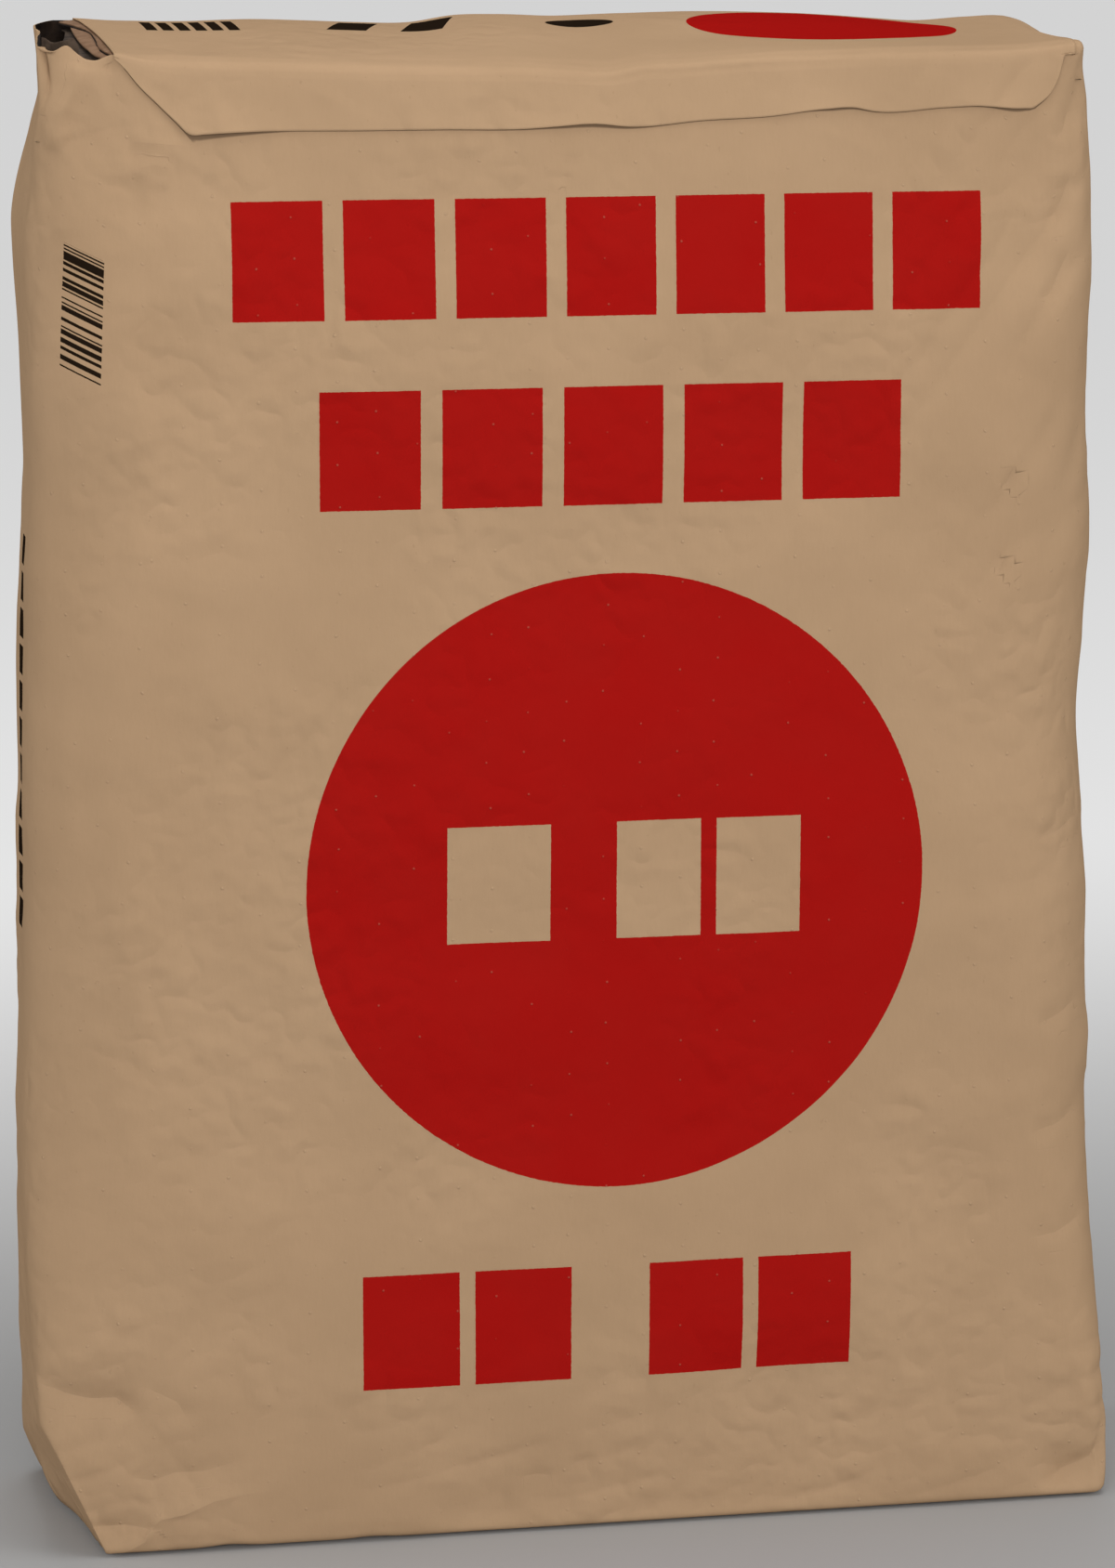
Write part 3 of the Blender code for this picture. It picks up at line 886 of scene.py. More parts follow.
@dataclass(frozen=True)
class Disc:
    """A plain printed disc, round or drawn out."""

    x: float
    y: float
    wide: float
    high: float

    def mask(self, shader: Shader, x: Socket, y: Socket) -> Socket:
        """1 inside the disc."""
        across = shader.math("DIVIDE", shader.minus(x, self.x), self.wide)
        upward = shader.math("DIVIDE", shader.minus(y, self.y), self.high)
        square = shader.math("ADD", shader.times(across, across),
                             shader.times(upward, upward))
        return shader.math("LESS_THAN", square, 1.0)


@dataclass(frozen=True)
class KraftFinish:
    """Unbleached kraft paper: two close browns, long fibres, a soft tooth and no gloss."""

    light: tuple[float, float, float] = (0.405, 0.267, 0.158)
    dark: tuple[float, float, float] = (0.352, 0.230, 0.134)
    roughness: float = 0.66
    pin_column: float = 14.4 * MM
    pin_pitch: float = 16.0 * MM
    pin_climb: float = 3.5 * MM
    pin_radius: float = 0.80 * MM

    def paper(self, shader: Shader) -> Socket:
        """The bare paper's colour: cloudy, with fibres and a few dark flecks."""
        clouds = shader.noise(14.0, 4.0, 0.55)
        fibres = shader.noise(1.0, 2.0, 0.6, shader.stretch((900.0, 900.0, 160.0)))
        flecks = shader.noise(1.0, 1.0, 0.5, shader.stretch((620.0, 620.0, 340.0)))
        share = shader.ramp(clouds, 0.30, 0.70, (0.22, 0.78))
        grain = shader.ramp(fibres, 0.30, 0.70, (-0.06, 0.06))
        share = shader.plus(share, grain)
        colour = shader.mix(share, self.dark, self.light)
        fleck = shader.ramp(flecks, 0.74, 0.82, (0.0, 0.16))
        return shader.mix(fleck, colour, (0.170, 0.098, 0.055))

    def pins(self, shader: Shader) -> Socket:
        """Venting pinholes: slanting rows of tiny burrs, 1 at the middle of each."""
        node = shader.nodes.new("ShaderNodeUVMap")
        node.uv_map = "Paper"
        u, v, _ = shader.split(node.outputs["UV"])
        column = shader.math("DIVIDE", u, self.pin_column)
        number = shader.math("FLOOR", column)
        drop = shader.times(number, self.pin_climb)
        row = shader.math("DIVIDE", shader.minus(v, drop), self.pin_pitch)
        wander = shader.nodes.new("ShaderNodeTexWhiteNoise")
        wander.noise_dimensions = "2D"
        pair = shader.nodes.new("ShaderNodeCombineXYZ")
        shader.links.new(number, pair.inputs[0])
        shader.links.new(shader.math("FLOOR", row), pair.inputs[1])
        shader.links.new(pair.outputs[0], wander.inputs["Vector"])
        red, green, blue = shader.split(wander.outputs["Color"])
        shift_x = shader.math("MULTIPLY_ADD", red, 0.10, 0.45)
        shift_y = shader.math("MULTIPLY_ADD", green, 0.10, 0.45)
        off_x = shader.minus(shader.math("FRACT", column), shift_x)
        off_y = shader.minus(shader.math("FRACT", row), shift_y)
        off_x = shader.times(off_x, self.pin_column)
        off_y = shader.times(off_y, self.pin_pitch)
        away = shader.math("SQRT", shader.math(
            "ADD", shader.times(off_x, off_x), shader.times(off_y, off_y)))
        burr = shader.ramp(away, self.pin_radius, 0.15 * self.pin_radius, (0.0, 1.0))
        strong = shader.ramp(blue, 0.15, 0.9, (0.15, 1.0))
        return shader.times(burr, strong)

    def folds(self, shader: Shader) -> Socket:
        """Height of the sharp folds, in metres: steep at the right of each line and less so at
        its left."""
        side = shader.number("fold_side")
        left = shader.math("DIVIDE", shader.math("MAXIMUM", side, 0.0), -2.6 * MM)
        right = shader.math("DIVIDE", shader.math("MINIMUM", side, 0.0), 1.3 * MM)
        fade = shader.math("EXPONENT", shader.math("ADD", left, right))
        return shader.times(fade, shader.number("fold_height"))

    def crumple(self, shader: Shader) -> Socket:
        """Small crumples with sharp crests, in some places more than in others."""
        lumps = shader.noise(58.0, 1.5, 0.5)
        away = shader.minus(lumps, 0.5)
        over = shader.math("ADD", shader.math("ABSOLUTE", away), 0.05)
        crests = shader.math("DIVIDE", shader.times(away, away), over)
        where = shader.ramp(shader.noise(13.0, 1.0, 0.5), 0.38, 0.66, (0.15, 1.0))
        return shader.times(crests, where)

    def dress(self, shader: Shader, colour: Socket, ink: Socket, pins: bool) -> None:
        """Puts the paper's colour and fine relief on a material, with no gloss.

        Args:
            shader: The material.
            colour: What the paper shows, its print included.
            ink: 1 where there is print, which is a little smoother.
            pins: Whether the paper has venting pinholes.
        """
        tooth = shader.noise(1.0, 3.0, 0.6, shader.stretch((1500.0, 1500.0, 700.0)))
        weave = shader.noise(260.0, 3.0, 0.55)
        normal = shader.bump(tooth, 0.030 * MM)
        normal = shader.bump(weave, 0.10 * MM, normal)
        normal = shader.bump(self.crumple(shader), 4.6 * MM, normal)
        if pins:
            normal = shader.bump(self.folds(shader), 1.0, normal)
            burr = self.pins(shader)
            normal = shader.bump(burr, 0.24 * MM, normal)
            # Each burr's middle is painted lighter: a painted highlight on the raised paper.
            colour = shader.mix(shader.ramp(burr, 0.3, 0.9, (0.0, 0.10)), colour, (0.62, 0.45, 0.29))
        rough = shader.ramp(weave, 0.3, 0.7, (self.roughness - 0.04, self.roughness + 0.05))
        rough = shader.minus(rough, shader.times(ink, 0.07))
        shader.set("Base Color", colour)
        shader.set("Roughness", rough)
        shader.set("Normal", normal)
        shader.set("Specular IOR Level", 0.0)


@dataclass(frozen=True)
class PrintedFace:
    """The sack's print: rows of plain red blocks and one large red disc."""

    lines: tuple[Blocks, ...] = (
        Blocks(-0.1303, 0.1500, 0.4705, 0.5140, 7, 0.0075),
        Blocks(-0.0990, 0.1200, 0.4003, 0.4445, 5, 0.0080),
        Blocks(-0.0855, -0.0052, 0.0625, 0.1075, 2, 0.0060),
        Blocks(0.0251, 0.1044, 0.0625, 0.1075, 2, 0.0060),
    )
    disc: Disc = Disc(0.0125, 0.2565, 0.1180, 0.1180)
    inside: tuple[Blocks, ...] = (
        Blocks(-0.0526, -0.0134, 0.2355, 0.2805, 1, 0.0060),
        Blocks(0.0119, 0.0824, 0.2355, 0.2805, 2, 0.0060),
    )
    bars_left: float = -0.1905
    bars_right: float = -0.1762
    bars_low: float = 0.4545
    bars_high: float = 0.5004
    bars_slant: float = -0.48
    bars_lean: float = 0.040
    bar_pitch: float = 0.62 * MM
    front_limit: float = -0.012
    side_limit: float = -0.195
    side_mark: Blocks = Blocks(-0.006, 0.004, 0.236, 0.386, 1, 0.002)
    side_ticks: Blocks = Blocks(0.236, 0.386, -0.006, 0.004, 11, 0.003)
    hem_shadow: tuple[float, float, float] = (0.030, 0.017, 0.012)

    def red(self, shader: Shader, x: Socket, z: Socket) -> Socket:
        """Where the red ink lies."""
        holes = 0.0
        for block in self.inside:
            holes = shader.plus(holes, block.mask(shader, x, z))
        ink = shader.math("SUBTRACT", self.disc.mask(shader, x, z), holes, clamp=True)
        for line in self.lines:
            ink = shader.plus(ink, line.mask(shader, x, z))
        return ink

    def black(self, shader: Shader, x: Socket, z: Socket) -> Socket:
        """A patch of plain bars of random width, near the left edge. They encode nothing."""
        up = shader.minus(z, self.bars_high)
        x = shader.minus(x, shader.times(up, self.bars_lean))
        fall = shader.times(shader.minus(x, self.bars_left), self.bars_slant)
        level = shader.minus(z, fall)
        step = shader.math("FLOOR", shader.math("DIVIDE", level, self.bar_pitch))
        chance = shader.nodes.new("ShaderNodeTexWhiteNoise")
        chance.noise_dimensions = "1D"
        shader.links.new(step, chance.inputs["W"])
        bars = shader.math("GREATER_THAN", chance.outputs["Value"], 0.42)
        bars = shader.times(bars, shader.between(level, self.bars_low, self.bars_high))
        return shader.times(bars, shader.between(x, self.bars_left, self.bars_right))

    def dress(self, kraft: KraftFinish) -> bpy.types.Material:
        """The sack's outside paper, with its print on the front."""
        shader = Shader("kraft_outside")
        x, y, z = shader.split(shader.place)
        ragged = shader.noise(700.0, 2.0, 0.5)
        ragged = shader.times(shader.minus(ragged, 0.5), 0.35 * MM)
        x_ink = shader.math("ADD", x, ragged)
        z_ink = shader.math("ADD", z, ragged)
        front = shader.math("LESS_THAN", y, self.front_limit)
        red = shader.times(self.red(shader, x_ink, z_ink), front)
        black = shader.times(self.black(shader, x_ink, z), front)
        side = shader.math("LESS_THAN", x, self.side_limit)
        mark = self.side_mark.mask(shader, y, z)
        ticks = self.side_ticks.mask(shader, z, y)
        mark = shader.times(shader.times(mark, ticks), side)
        black = shader.plus(black, mark)
        paper = kraft.paper(shader)
        cloud = shader.noise(30.0, 3.0, 0.6)
        ink_share = shader.times(red, shader.ramp(cloud, 0.2, 0.8, (0.994, 1.0)))
        colour = shader.mix(ink_share, paper, Ink.RED.value)
        colour = shader.mix(shader.times(black, 0.985), colour, Ink.BLACK.value)
        ink = shader.plus(red, black)
        depth = shader.math("DIVIDE", shader.number("hem_drop"), shader.number("hem_gap"))
        gloom = shader.ramp(depth, 0.70, 1.20, (0.60, 0.0))
        colour = shader.mix(gloom, colour, self.hem_shadow)
        kraft.dress(shader, colour, ink, pins=True)
        return shader.material


@dataclass(frozen=True)
class CoverPrint:
    """The top cover sheet's print: a plain red disc, a black spot and a few black blocks."""

    disc: Disc = Disc(0.1040, 0.0080, 0.0520, 0.0380)
    patch: Blocks = Blocks(-0.1530, -0.1180, 0.0080, 0.0400, 6, 0.0020)
    bar_one: Blocks = Blocks(-0.0890, -0.0740, 0.0130, 0.0420, 1, 0.0010)
    bar_two: Blocks = Blocks(-0.0610, -0.0450, 0.0130, 0.0420, 1, 0.0010)
    spot: Disc = Disc(0.0125, 0.0200, 0.0130, 0.0090)
    top_limit: float = 0.5610

    def dress(self, kraft: KraftFinish) -> bpy.types.Material:
        """The cover sheet's paper, a little lighter than the sack's."""
        shader = Shader("kraft_cover")
        x, y, z = shader.split(shader.place)
        top = shader.math("GREATER_THAN", z, self.top_limit)
        red = shader.times(self.disc.mask(shader, x, y), top)
        black = self.patch.mask(shader, x, y)
        slant = shader.math("MULTIPLY_ADD", y, -0.30, x)
        for bar in (self.bar_one, self.bar_two):
            black = shader.plus(black, bar.mask(shader, slant, y))
        black = shader.plus(black, self.spot.mask(shader, x, y))
        black = shader.times(black, top)
        colour = shader.mix(red, kraft.paper(shader), Ink.RED.value)
        colour = shader.mix(shader.times(black, 0.985), colour, Ink.BLACK.value)
        ink = shader.plus(red, black)
        kraft.dress(shader, colour, ink, pins=False)
        return shader.material


@dataclass(frozen=True)
class DustAndShadePly:
    """The bare inside of the paper, grey with cement dust. The darker ones are painted shade: their
    colours stand in for the shade inside the valve's mouth.
    """

    name: str
    paper: tuple[float, float, float]
    dust: tuple[float, float, float]

    def dress(self) -> bpy.types.Material:
        """Brown paper with a cloudy film of dust and a rough tooth; in the dark finishes both colours
        also carry painted shade.
        """
        shader = Shader(self.name)
        clouds = shader.noise(140.0, 4.0, 0.65)
        grit = shader.noise(2200.0, 2.0, 0.6)
        colour = shader.mix(shader.ramp(clouds, 0.35, 0.65, (0.0, 1.0)), self.paper, self.dust)
        colour = shader.mix(shader.ramp(grit, 0.55, 0.75, (0.0, 0.35)), colour, self.dust)
        shader.set("Base Color", colour)
        shader.set("Roughness", shader.ramp(grit, 0.3, 0.7, (0.80, 0.95)))
        shader.set("Normal", shader.bump(grit, 0.08 * MM, shader.bump(clouds, 0.25 * MM)))
        shader.set("Specular IOR Level", 0.2)
        return shader.material


@dataclass(frozen=True)
class DryMixFinish:
    """Grey cement powder with sand and small gravel in it."""

    powder: tuple[float, float, float] = (0.36, 0.35, 0.33)
    grain: tuple[float, float, float] = (0.52, 0.47, 0.38)

    def dress(self) -> bpy.types.Material:
        """Powder with paler grains that stand out of it."""
        shader = Shader("dry_mix")
        cells = shader.nodes.new("ShaderNodeTexVoronoi")
        shader.links.new(shader.place, cells.inputs["Vector"])
        cells.inputs["Scale"].default_value = 420.0
        lump = shader.ramp(cells.outputs["Distance"], 0.15, 0.55, (1.0, 0.0))
        dust = shader.noise(90.0, 4.0, 0.6)
        colour = shader.mix(lump, self.powder, self.grain)
        colour = shader.mix(shader.ramp(dust, 0.4, 0.7, (0.0, 0.5)), colour, (0.30, 0.29, 0.28))
        shader.set("Base Color", colour)
        shader.set("Roughness", 0.95)
        shader.set("Normal", shader.bump(lump, 0.5 * MM))
        return shader.material


# Pieces of the bag


@dataclass(frozen=True)
class PaperSack:
    """The kraft sack itself: foot, walls, folded top, and the open corner of the valve."""

    form: BagForm
    relief: Relief
    front_columns: int = 220
    corner_columns: int = 17
    side_columns: int = 14
    back_corner_columns: int = 8
    back_columns: int = 36
    foot_rows: int = 7
    edge_rows: int = 4
    mouth_rows: int = 7
    wall_rows: int = 250
    top_rows: int = 22
    hem_span: tuple[float, float] = (-0.1690, 0.1800)
    hem_level: tuple[float, float] = (-0.1430, 0.1705)
    hem_top: float = 0.5640
    hem_away: float = 0.05

    def columns(self) -> tuple[np.ndarray, np.ndarray]:
        """Stretch number and share of each column, once round the bag."""
        counts = (
            self.front_columns, self.corner_columns, self.side_columns,
            self.back_corner_columns, self.back_columns, self.back_corner_columns,
            self.side_columns, self.corner_columns,
        )
        side = np.concatenate([np.full(count, number) for number, count in enumerate(counts)])
        shares = [np.arange(count) / count for count in counts]
        shares[0] = spread(0.0, 1.0, self.front_columns + 1, 0.42)[:-1]
        return side, np.concatenate(shares)

    def rows(self) -> list[tuple[Zone, float]]:
        """Zone and share of each row, from the middle of the foot to the middle of the top."""
        rows = [(Zone.FOOT, s) for s in np.arange(self.foot_rows) / self.foot_rows]
        rows += [(Zone.BOTTOM_EDGE, s) for s in np.arange(self.edge_rows) / self.edge_rows]
        rows += [(Zone.WALL, s) for s in spread(0.0, 1.0, self.wall_rows + 1, 0.45)[:-1]]
        rows += [(Zone.TOP_EDGE, s) for s in np.arange(self.edge_rows) / self.edge_rows]
        rows += [(Zone.MOUTH, s) for s in np.linspace(0.0, 1.0, self.mouth_rows)[:-1]]
        rows += [(Zone.TOP, s) for s in np.linspace(0.0, 1.0, self.top_rows) ** 1.35]
        return rows

    def smooth_grid(self, shrink: float = 0.0) -> tuple[np.ndarray, np.ndarray]:
        """The sack before its relief.

        Args:
            shrink: How far inside the paper the surface lies.

        Returns:
            Points, (rows, columns, 3), and how far each is inside the valve's mouth, 0 to 1.
        """
        form = self.form
        side, share = self.columns()
        edge = form.outline(side, share, np.full(side.shape, TOP_LEVEL), np.zeros(side.shape))
        at_valve = 1.0 - rise(form.valve_end - 0.0012, form.valve_end + 0.0012, edge[:, 0])
        top_radius = form.top_radius + (form.lip_radius - form.top_radius) * at_valve
        wall_top = form.top_height(edge[:, 0], edge[:, 1]) - top_radius
        wall_low = form.foot_height + form.bottom_radius
        level = np.array(TOP_LEVEL)
        reach = 0.5 * (form.front.at(level) + form.back.at(level))
        grid = []
        mouth = []
        for zone, part in self.rows():
            pocket = np.zeros(side.shape)
            if zone is Zone.FOOT:
                inset = reach + (form.bottom_radius - reach) * part
                plan = form.outline(side, share, np.zeros(side.shape), inset + 0.0 * share)
                z = np.full(side.shape, form.foot_height)
            elif zone is Zone.BOTTOM_EDGE:
                angle = 0.5 * np.pi * part
                inset = form.bottom_radius * (1.0 - math.sin(angle))
                lift = form.bottom_radius * (1.0 - math.cos(angle))
                plan = form.outline(side, share, lift + 0.0 * share, inset + 0.0 * share)
                z = np.full(side.shape, form.foot_height + lift)
            elif zone is Zone.WALL:
                z = wall_low + (wall_top - wall_low) * part
                plan = form.outline(side, share, z, np.zeros(side.shape))
            elif zone is Zone.TOP_EDGE:
                angle = 0.5 * np.pi * part
                inset = top_radius * (1.0 - math.cos(angle))
                plan = form.outline(side, share, wall_top, inset)
                z = wall_top + top_radius * math.sin(angle)
            elif zone is Zone.MOUTH:
                inset = top_radius + form.lip_radius * part
                low = wall_top - form.valve_depth * part * at_valve
                plan = form.outline(side, share, low, inset)
                z = low + top_radius
                pocket = at_valve * (part > 0.0)
            else:
                first = top_radius + form.lip_radius
                inset = first + (reach - first) * part
                low = wall_top - form.valve_depth * at_valve
                plan = form.outline(side, share, low, inset)
                z = form.top_height(plan[:, 0], plan[:, 1])
                pocket = 1.0 - rise(-1.0 * MM, 1.0 * MM, plan[:, 0] - form.valve_end)
                z = z - form.valve_depth * pocket
            grid.append(np.column_stack([plan, z]))
            mouth.append(pocket)
        points = np.array(grid)
        if shrink:
            points = points - shrink * sheet_normals(points, closed=True)
        return points, np.array(mouth)

    def surface(self) -> tuple[np.ndarray, np.ndarray, tuple[np.ndarray, np.ndarray]]:
        """The finished surface.

        Returns:
            Points, (rows, columns, 3), the share of each that is inside the mouth, and the
            sharp folds' distance and height there.
        """
        points, mouth = self.smooth_grid()
        normals = sheet_normals(points, closed=True)
        z = points[..., 2]
        zones = [zone for zone, _ in self.rows()]
        mouth_rows = [row for row, zone in enumerate(zones) if zone is Zone.MOUTH]
        normals[mouth_rows] = normals[zones.index(Zone.TOP_EDGE) - 1]
        height = self.relief.height(points, normals)
        side, core = self.relief.cores(points, normals)
        hold = rise(0.0, 0.010, z)
        hold[mouth_rows[-1] + 1 :] *= 1.0 - mouth[mouth_rows[-1] + 1 :]
        under_cover = rise(0.5, 0.9, normals[..., 2])
        hold = hold * (1.0 - 0.85 * under_cover)
        height = height * hold
        points = points + normals * height[..., None]
        for press in self.form.presses:
            points = press.apply(points)
        x, y, z = np.moveaxis(points, -1, 0)
        heel = hump(y, 0.014, 0.017) * hump(z, 0.006, 0.013) * rise(-0.175, -0.190, x)
        points[..., 0] -= 3.2 * MM * heel
        lifted = 0.9 * MM * hump(x, -0.137, 0.008) + 0.6 * MM * hump(x, -0.0816, 0.008)
        points[..., 2] += lifted * (1.0 - rise(0.004, 0.030, z)) * (1.0 - rise(-0.055, -0.035, y))
        return points, mouth, (side, core * (1.0 - mouth))

    def shade_hem(self, sack: bpy.types.Object, points: np.ndarray) -> None:
        """Stores how far each place on the front lies below the cover's hem, and the gap there.

        Args:
            sack: The sack, before its seams are joined.
            points: Its places, (rows, columns, 3).
        """
        x, y, z = np.moveaxis(points, -1, 0)
        drop = TopCoverSheet.hem.at(x) - z
        drop = drop * np.where((x < self.hem_level[0]) | (x > self.hem_level[1]), 0.6, 1.0)
        shaded = (y < 0.0) & (x > self.hem_span[0]) & (x < self.hem_span[1]) & (z < self.hem_top)
        set_number(sack, "hem_drop", np.where(shaded, drop, self.hem_away))
        corner = np.clip((-0.108 - x) / 0.034, 0.0, 1.0) * rise(-0.147, -0.141, x)
        gap = 0.30 + 1.8 * corner + 0.9 * hump(x, 0.004, 0.016) + 0.9 * hump(x, 0.164, 0.008)
        gap = gap + 0.7 * hump(x, 0.0960, 0.008)
        set_number(sack, "hem_gap", gap * MM)

    def flat_places(self, points: np.ndarray, faces: np.ndarray) -> np.ndarray:
        """Where the paper's corners lie when it is laid flat.

        Args:
            points: Places on the sack, (rows, columns, 3).
            faces: Its quads, (m, 4).

        Returns:
            u round the bag from the middle of its front, and v up it from the foot's edge,
            in metres, (m, 4, 2).
        """
        rows, columns = points.shape[:2]
        wrapped = np.concatenate([points, points[:, :1]], axis=1)
        across = np.linalg.norm(np.diff(wrapped, axis=1), axis=-1)
        u = np.concatenate([np.zeros((rows, 1)), np.cumsum(across, axis=1)], axis=1)
        u = u - u[:, self.front_columns // 2 : self.front_columns // 2 + 1]
        upward = np.linalg.norm(np.diff(wrapped, axis=0), axis=-1)
        climb = np.concatenate([np.zeros((1, columns + 1)), np.cumsum(upward, axis=0)], axis=0)
        first = self.foot_rows + self.edge_rows
        v = climb - climb[first : first + 1]
        flat = np.stack([u, v], axis=-1)
        row, column = np.divmod(faces[:, 0], columns)
        return np.stack([
            flat[row, column], flat[row, column + 1],
            flat[row + 1, column + 1], flat[row + 1, column],
        ], axis=1)

    def build(self, outside: bpy.types.Material, inside: bpy.types.Material) -> bpy.types.Object:
        """Makes the sack.

        Args:
            outside: The printed kraft paper.
            inside: The near-black inside of the valve's mouth, painted shade.

        Returns:
            The sack, which stands for the CAD sack.
        """
        points, mouth, (side, core) = self.surface()
        faces = grid_faces(*mouth.shape, closed=True)
        # Faces inside the valve's mouth take the near-black finish, painted shade.
        dark = mouth.reshape(-1)[faces].mean(axis=1) > 0.10
        sack = add_piece("paper_sack_skin", points, faces, [outside, inside], dark)
        set_number(sack, "fold_side", side)
        set_number(sack, "fold_height", core)
        self.shade_hem(sack, points)
        set_uv(sack, self.flat_places(points, faces), faces)
        join_seams(sack, 0.02 * MM)
        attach(sack, "root")
        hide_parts("paper_sack")
        return sack


@dataclass(frozen=True)
class TopCoverSheet:
    """The sheet pasted over the folded top, down both faces, with cut-off corners."""

    form: BagForm
    relief: Relief
    left: float = -0.1715
    right: float = 0.1864
    end_slant: float = 0.045
    columns: int = 220
    wall_rows: int = 24
    edge_rows: int = 9
    top_rows: int = 40
    gap: float = 0.35 * MM
    thickness: float = 0.40 * MM
    hem: Curve = Curve((
        (-0.1715, 0.5660), (-0.1700, 0.5648), (-0.1682, 0.5630), (-0.1631, 0.5566), (-0.1558, 0.5492),
        (-0.1499, 0.5433), (-0.1446, 0.5384), (-0.1430, 0.5381), (-0.1416, 0.5382),
        (-0.1237, 0.5390), (-0.0789, 0.5390), (-0.0515, 0.5390), (-0.0202, 0.5389),
        (-0.0102, 0.5395), (0.0036, 0.5403), (0.0175, 0.5391), (0.0453, 0.5411),
        (0.0698, 0.5422), (0.0909, 0.5446), (0.1021, 0.5450), (0.1085, 0.5437),
        (0.1368, 0.5447), (0.1475, 0.5451), (0.1668, 0.5440), (0.1705, 0.5443),
        (0.1716, 0.5450), (0.1787, 0.5526), (0.1801, 0.5561), (0.1811, 0.5602),
        (0.1824, 0.5662), (0.1838, 0.5690), (0.1864, 0.5700),
    ))
    lifts: tuple[tuple[float, float, float], ...] = (
        (-0.1330, 0.0170, 1.8), (-0.0020, 0.0190, 1.1), (0.0900, 0.0200, 1.0),
        (0.1600, 0.0150, 1.1), (-0.0600, 0.0250, 0.1), (0.0480, 0.0120, 0.2),
    )

    def path(self, x: np.ndarray) -> np.ndarray:
        """The sheet's middle surface before its relief.

        Args:
            x: Places across the bag, one for each column.

        Returns:
            Points, (rows, columns, 3): each column runs from the front hem up the front wall,
            over the ridge, across the top, and down the back wall to the back hem.
        """
        form = self.form
        radius = form.top_radius * rise(-0.1730, -0.1480, x) + 0.8 * MM
        front_y = form.front_face(x, np.full(x.shape, 0.566))
        back_y = form.front_face(x, np.full(x.shape, 0.566), back=True)
        front_top = form.top_height(x, front_y) - radius
        back_top = form.top_height(x, back_y) - radius
        front_hem = np.minimum(self.hem.at(x), front_top - 0.0002)
        back_hem = np.minimum(self.hem.at(-x * 0.985) - 0.003, back_top - 0.0002)
        rows = []
        for share in np.linspace(0.0, 1.0, self.wall_rows, endpoint=False):
            z = front_hem + (front_top - front_hem) * share
            rows.append(np.column_stack([x, form.front_face(x, z), z]))
        for angle in np.linspace(0.0, 0.5 * np.pi, self.edge_rows, endpoint=False):
            inset = radius * (1.0 - math.cos(angle))
            y = front_y + inset
            z = front_top + radius * math.sin(angle)
            rows.append(np.column_stack([x, y, z]))
        for share in np.linspace(0.0, 1.0, self.top_rows):
            y = front_y + radius + (back_y - front_y - 2.0 * radius) * share
            rows.append(np.column_stack([x, y, form.top_height(x, y)]))
        for angle in np.linspace(0.5 * np.pi, 0.0, self.edge_rows, endpoint=False)[1:]:
            inset = radius * (1.0 - math.cos(angle))
            z = back_top + radius * math.sin(angle)
            rows.append(np.column_stack([x, back_y - inset, z]))
        for share in np.linspace(1.0, 0.0, self.wall_rows):
            z = back_hem + (back_top - back_hem) * share
            rows.append(np.column_stack([x, form.front_face(x, z, back=True), z]))
        path = np.array(rows)
        slant = 1.0 - rise(0.0, 0.030, x - self.left)
        path[..., 0] -= self.end_slant * slant * (path[..., 1] + HALF_DEPTH)
        return path

    def build(self, finish: bpy.types.Material) -> bpy.types.Object:
        """Makes the sheet, just clear of the sack, its free edge lifted where the paste failed.

        Args:
            finish: Its paper.

        Returns:
            The sheet, which stands for the CAD sheet.
        """
        x = spread(self.left, self.right, self.columns, 0.35)
        points = self.path(x)
        normals = sheet_normals(points, closed=False)
        height = self.relief.height(points, normals)
        on_top = rise(0.5, 0.9, normals[..., 2])
        ripple = Lumps(83, 0.030, (0.6, 1.0, 2.0)).at(points)
        height = height * (1.0 - 0.85 * on_top) + self.gap
        height = height + 0.22 * MM * ripple * (1.0 - on_top)
        fade = np.clip(1.0 - np.arange(len(points)) / (0.55 * self.wall_rows), 0.0, 1.0) ** 1.6
        lift = np.zeros(x.shape)
        for centre, width, size in self.lifts:
            lift = lift + size * MM * hump(x, centre, width)
        height = height + fade[:, None] * lift
        height = height + fade[::-1, None] * 0.8 * MM * (0.5 + 0.5 * np.sin(x * 41.0))
        edge = hump(x, self.left, 0.010) * 0.5 * MM * (1.0 - 0.8 * on_top)
        edge = edge + hump(x, 0.1800, 0.0045) * 1.3 * MM * (1.0 - on_top)
        height = height + edge
        points = points + normals * height[..., None]
        for press in self.form.presses:
            points = press.apply(points)
        faces = grid_faces(len(points), len(x), closed=False)
        sheet = add_piece("top_cover", points, faces, [finish])
        add_thickness(sheet, self.thickness, 1.0)
        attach(sheet, "root")
        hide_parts("top_cover_sheet")
        return sheet


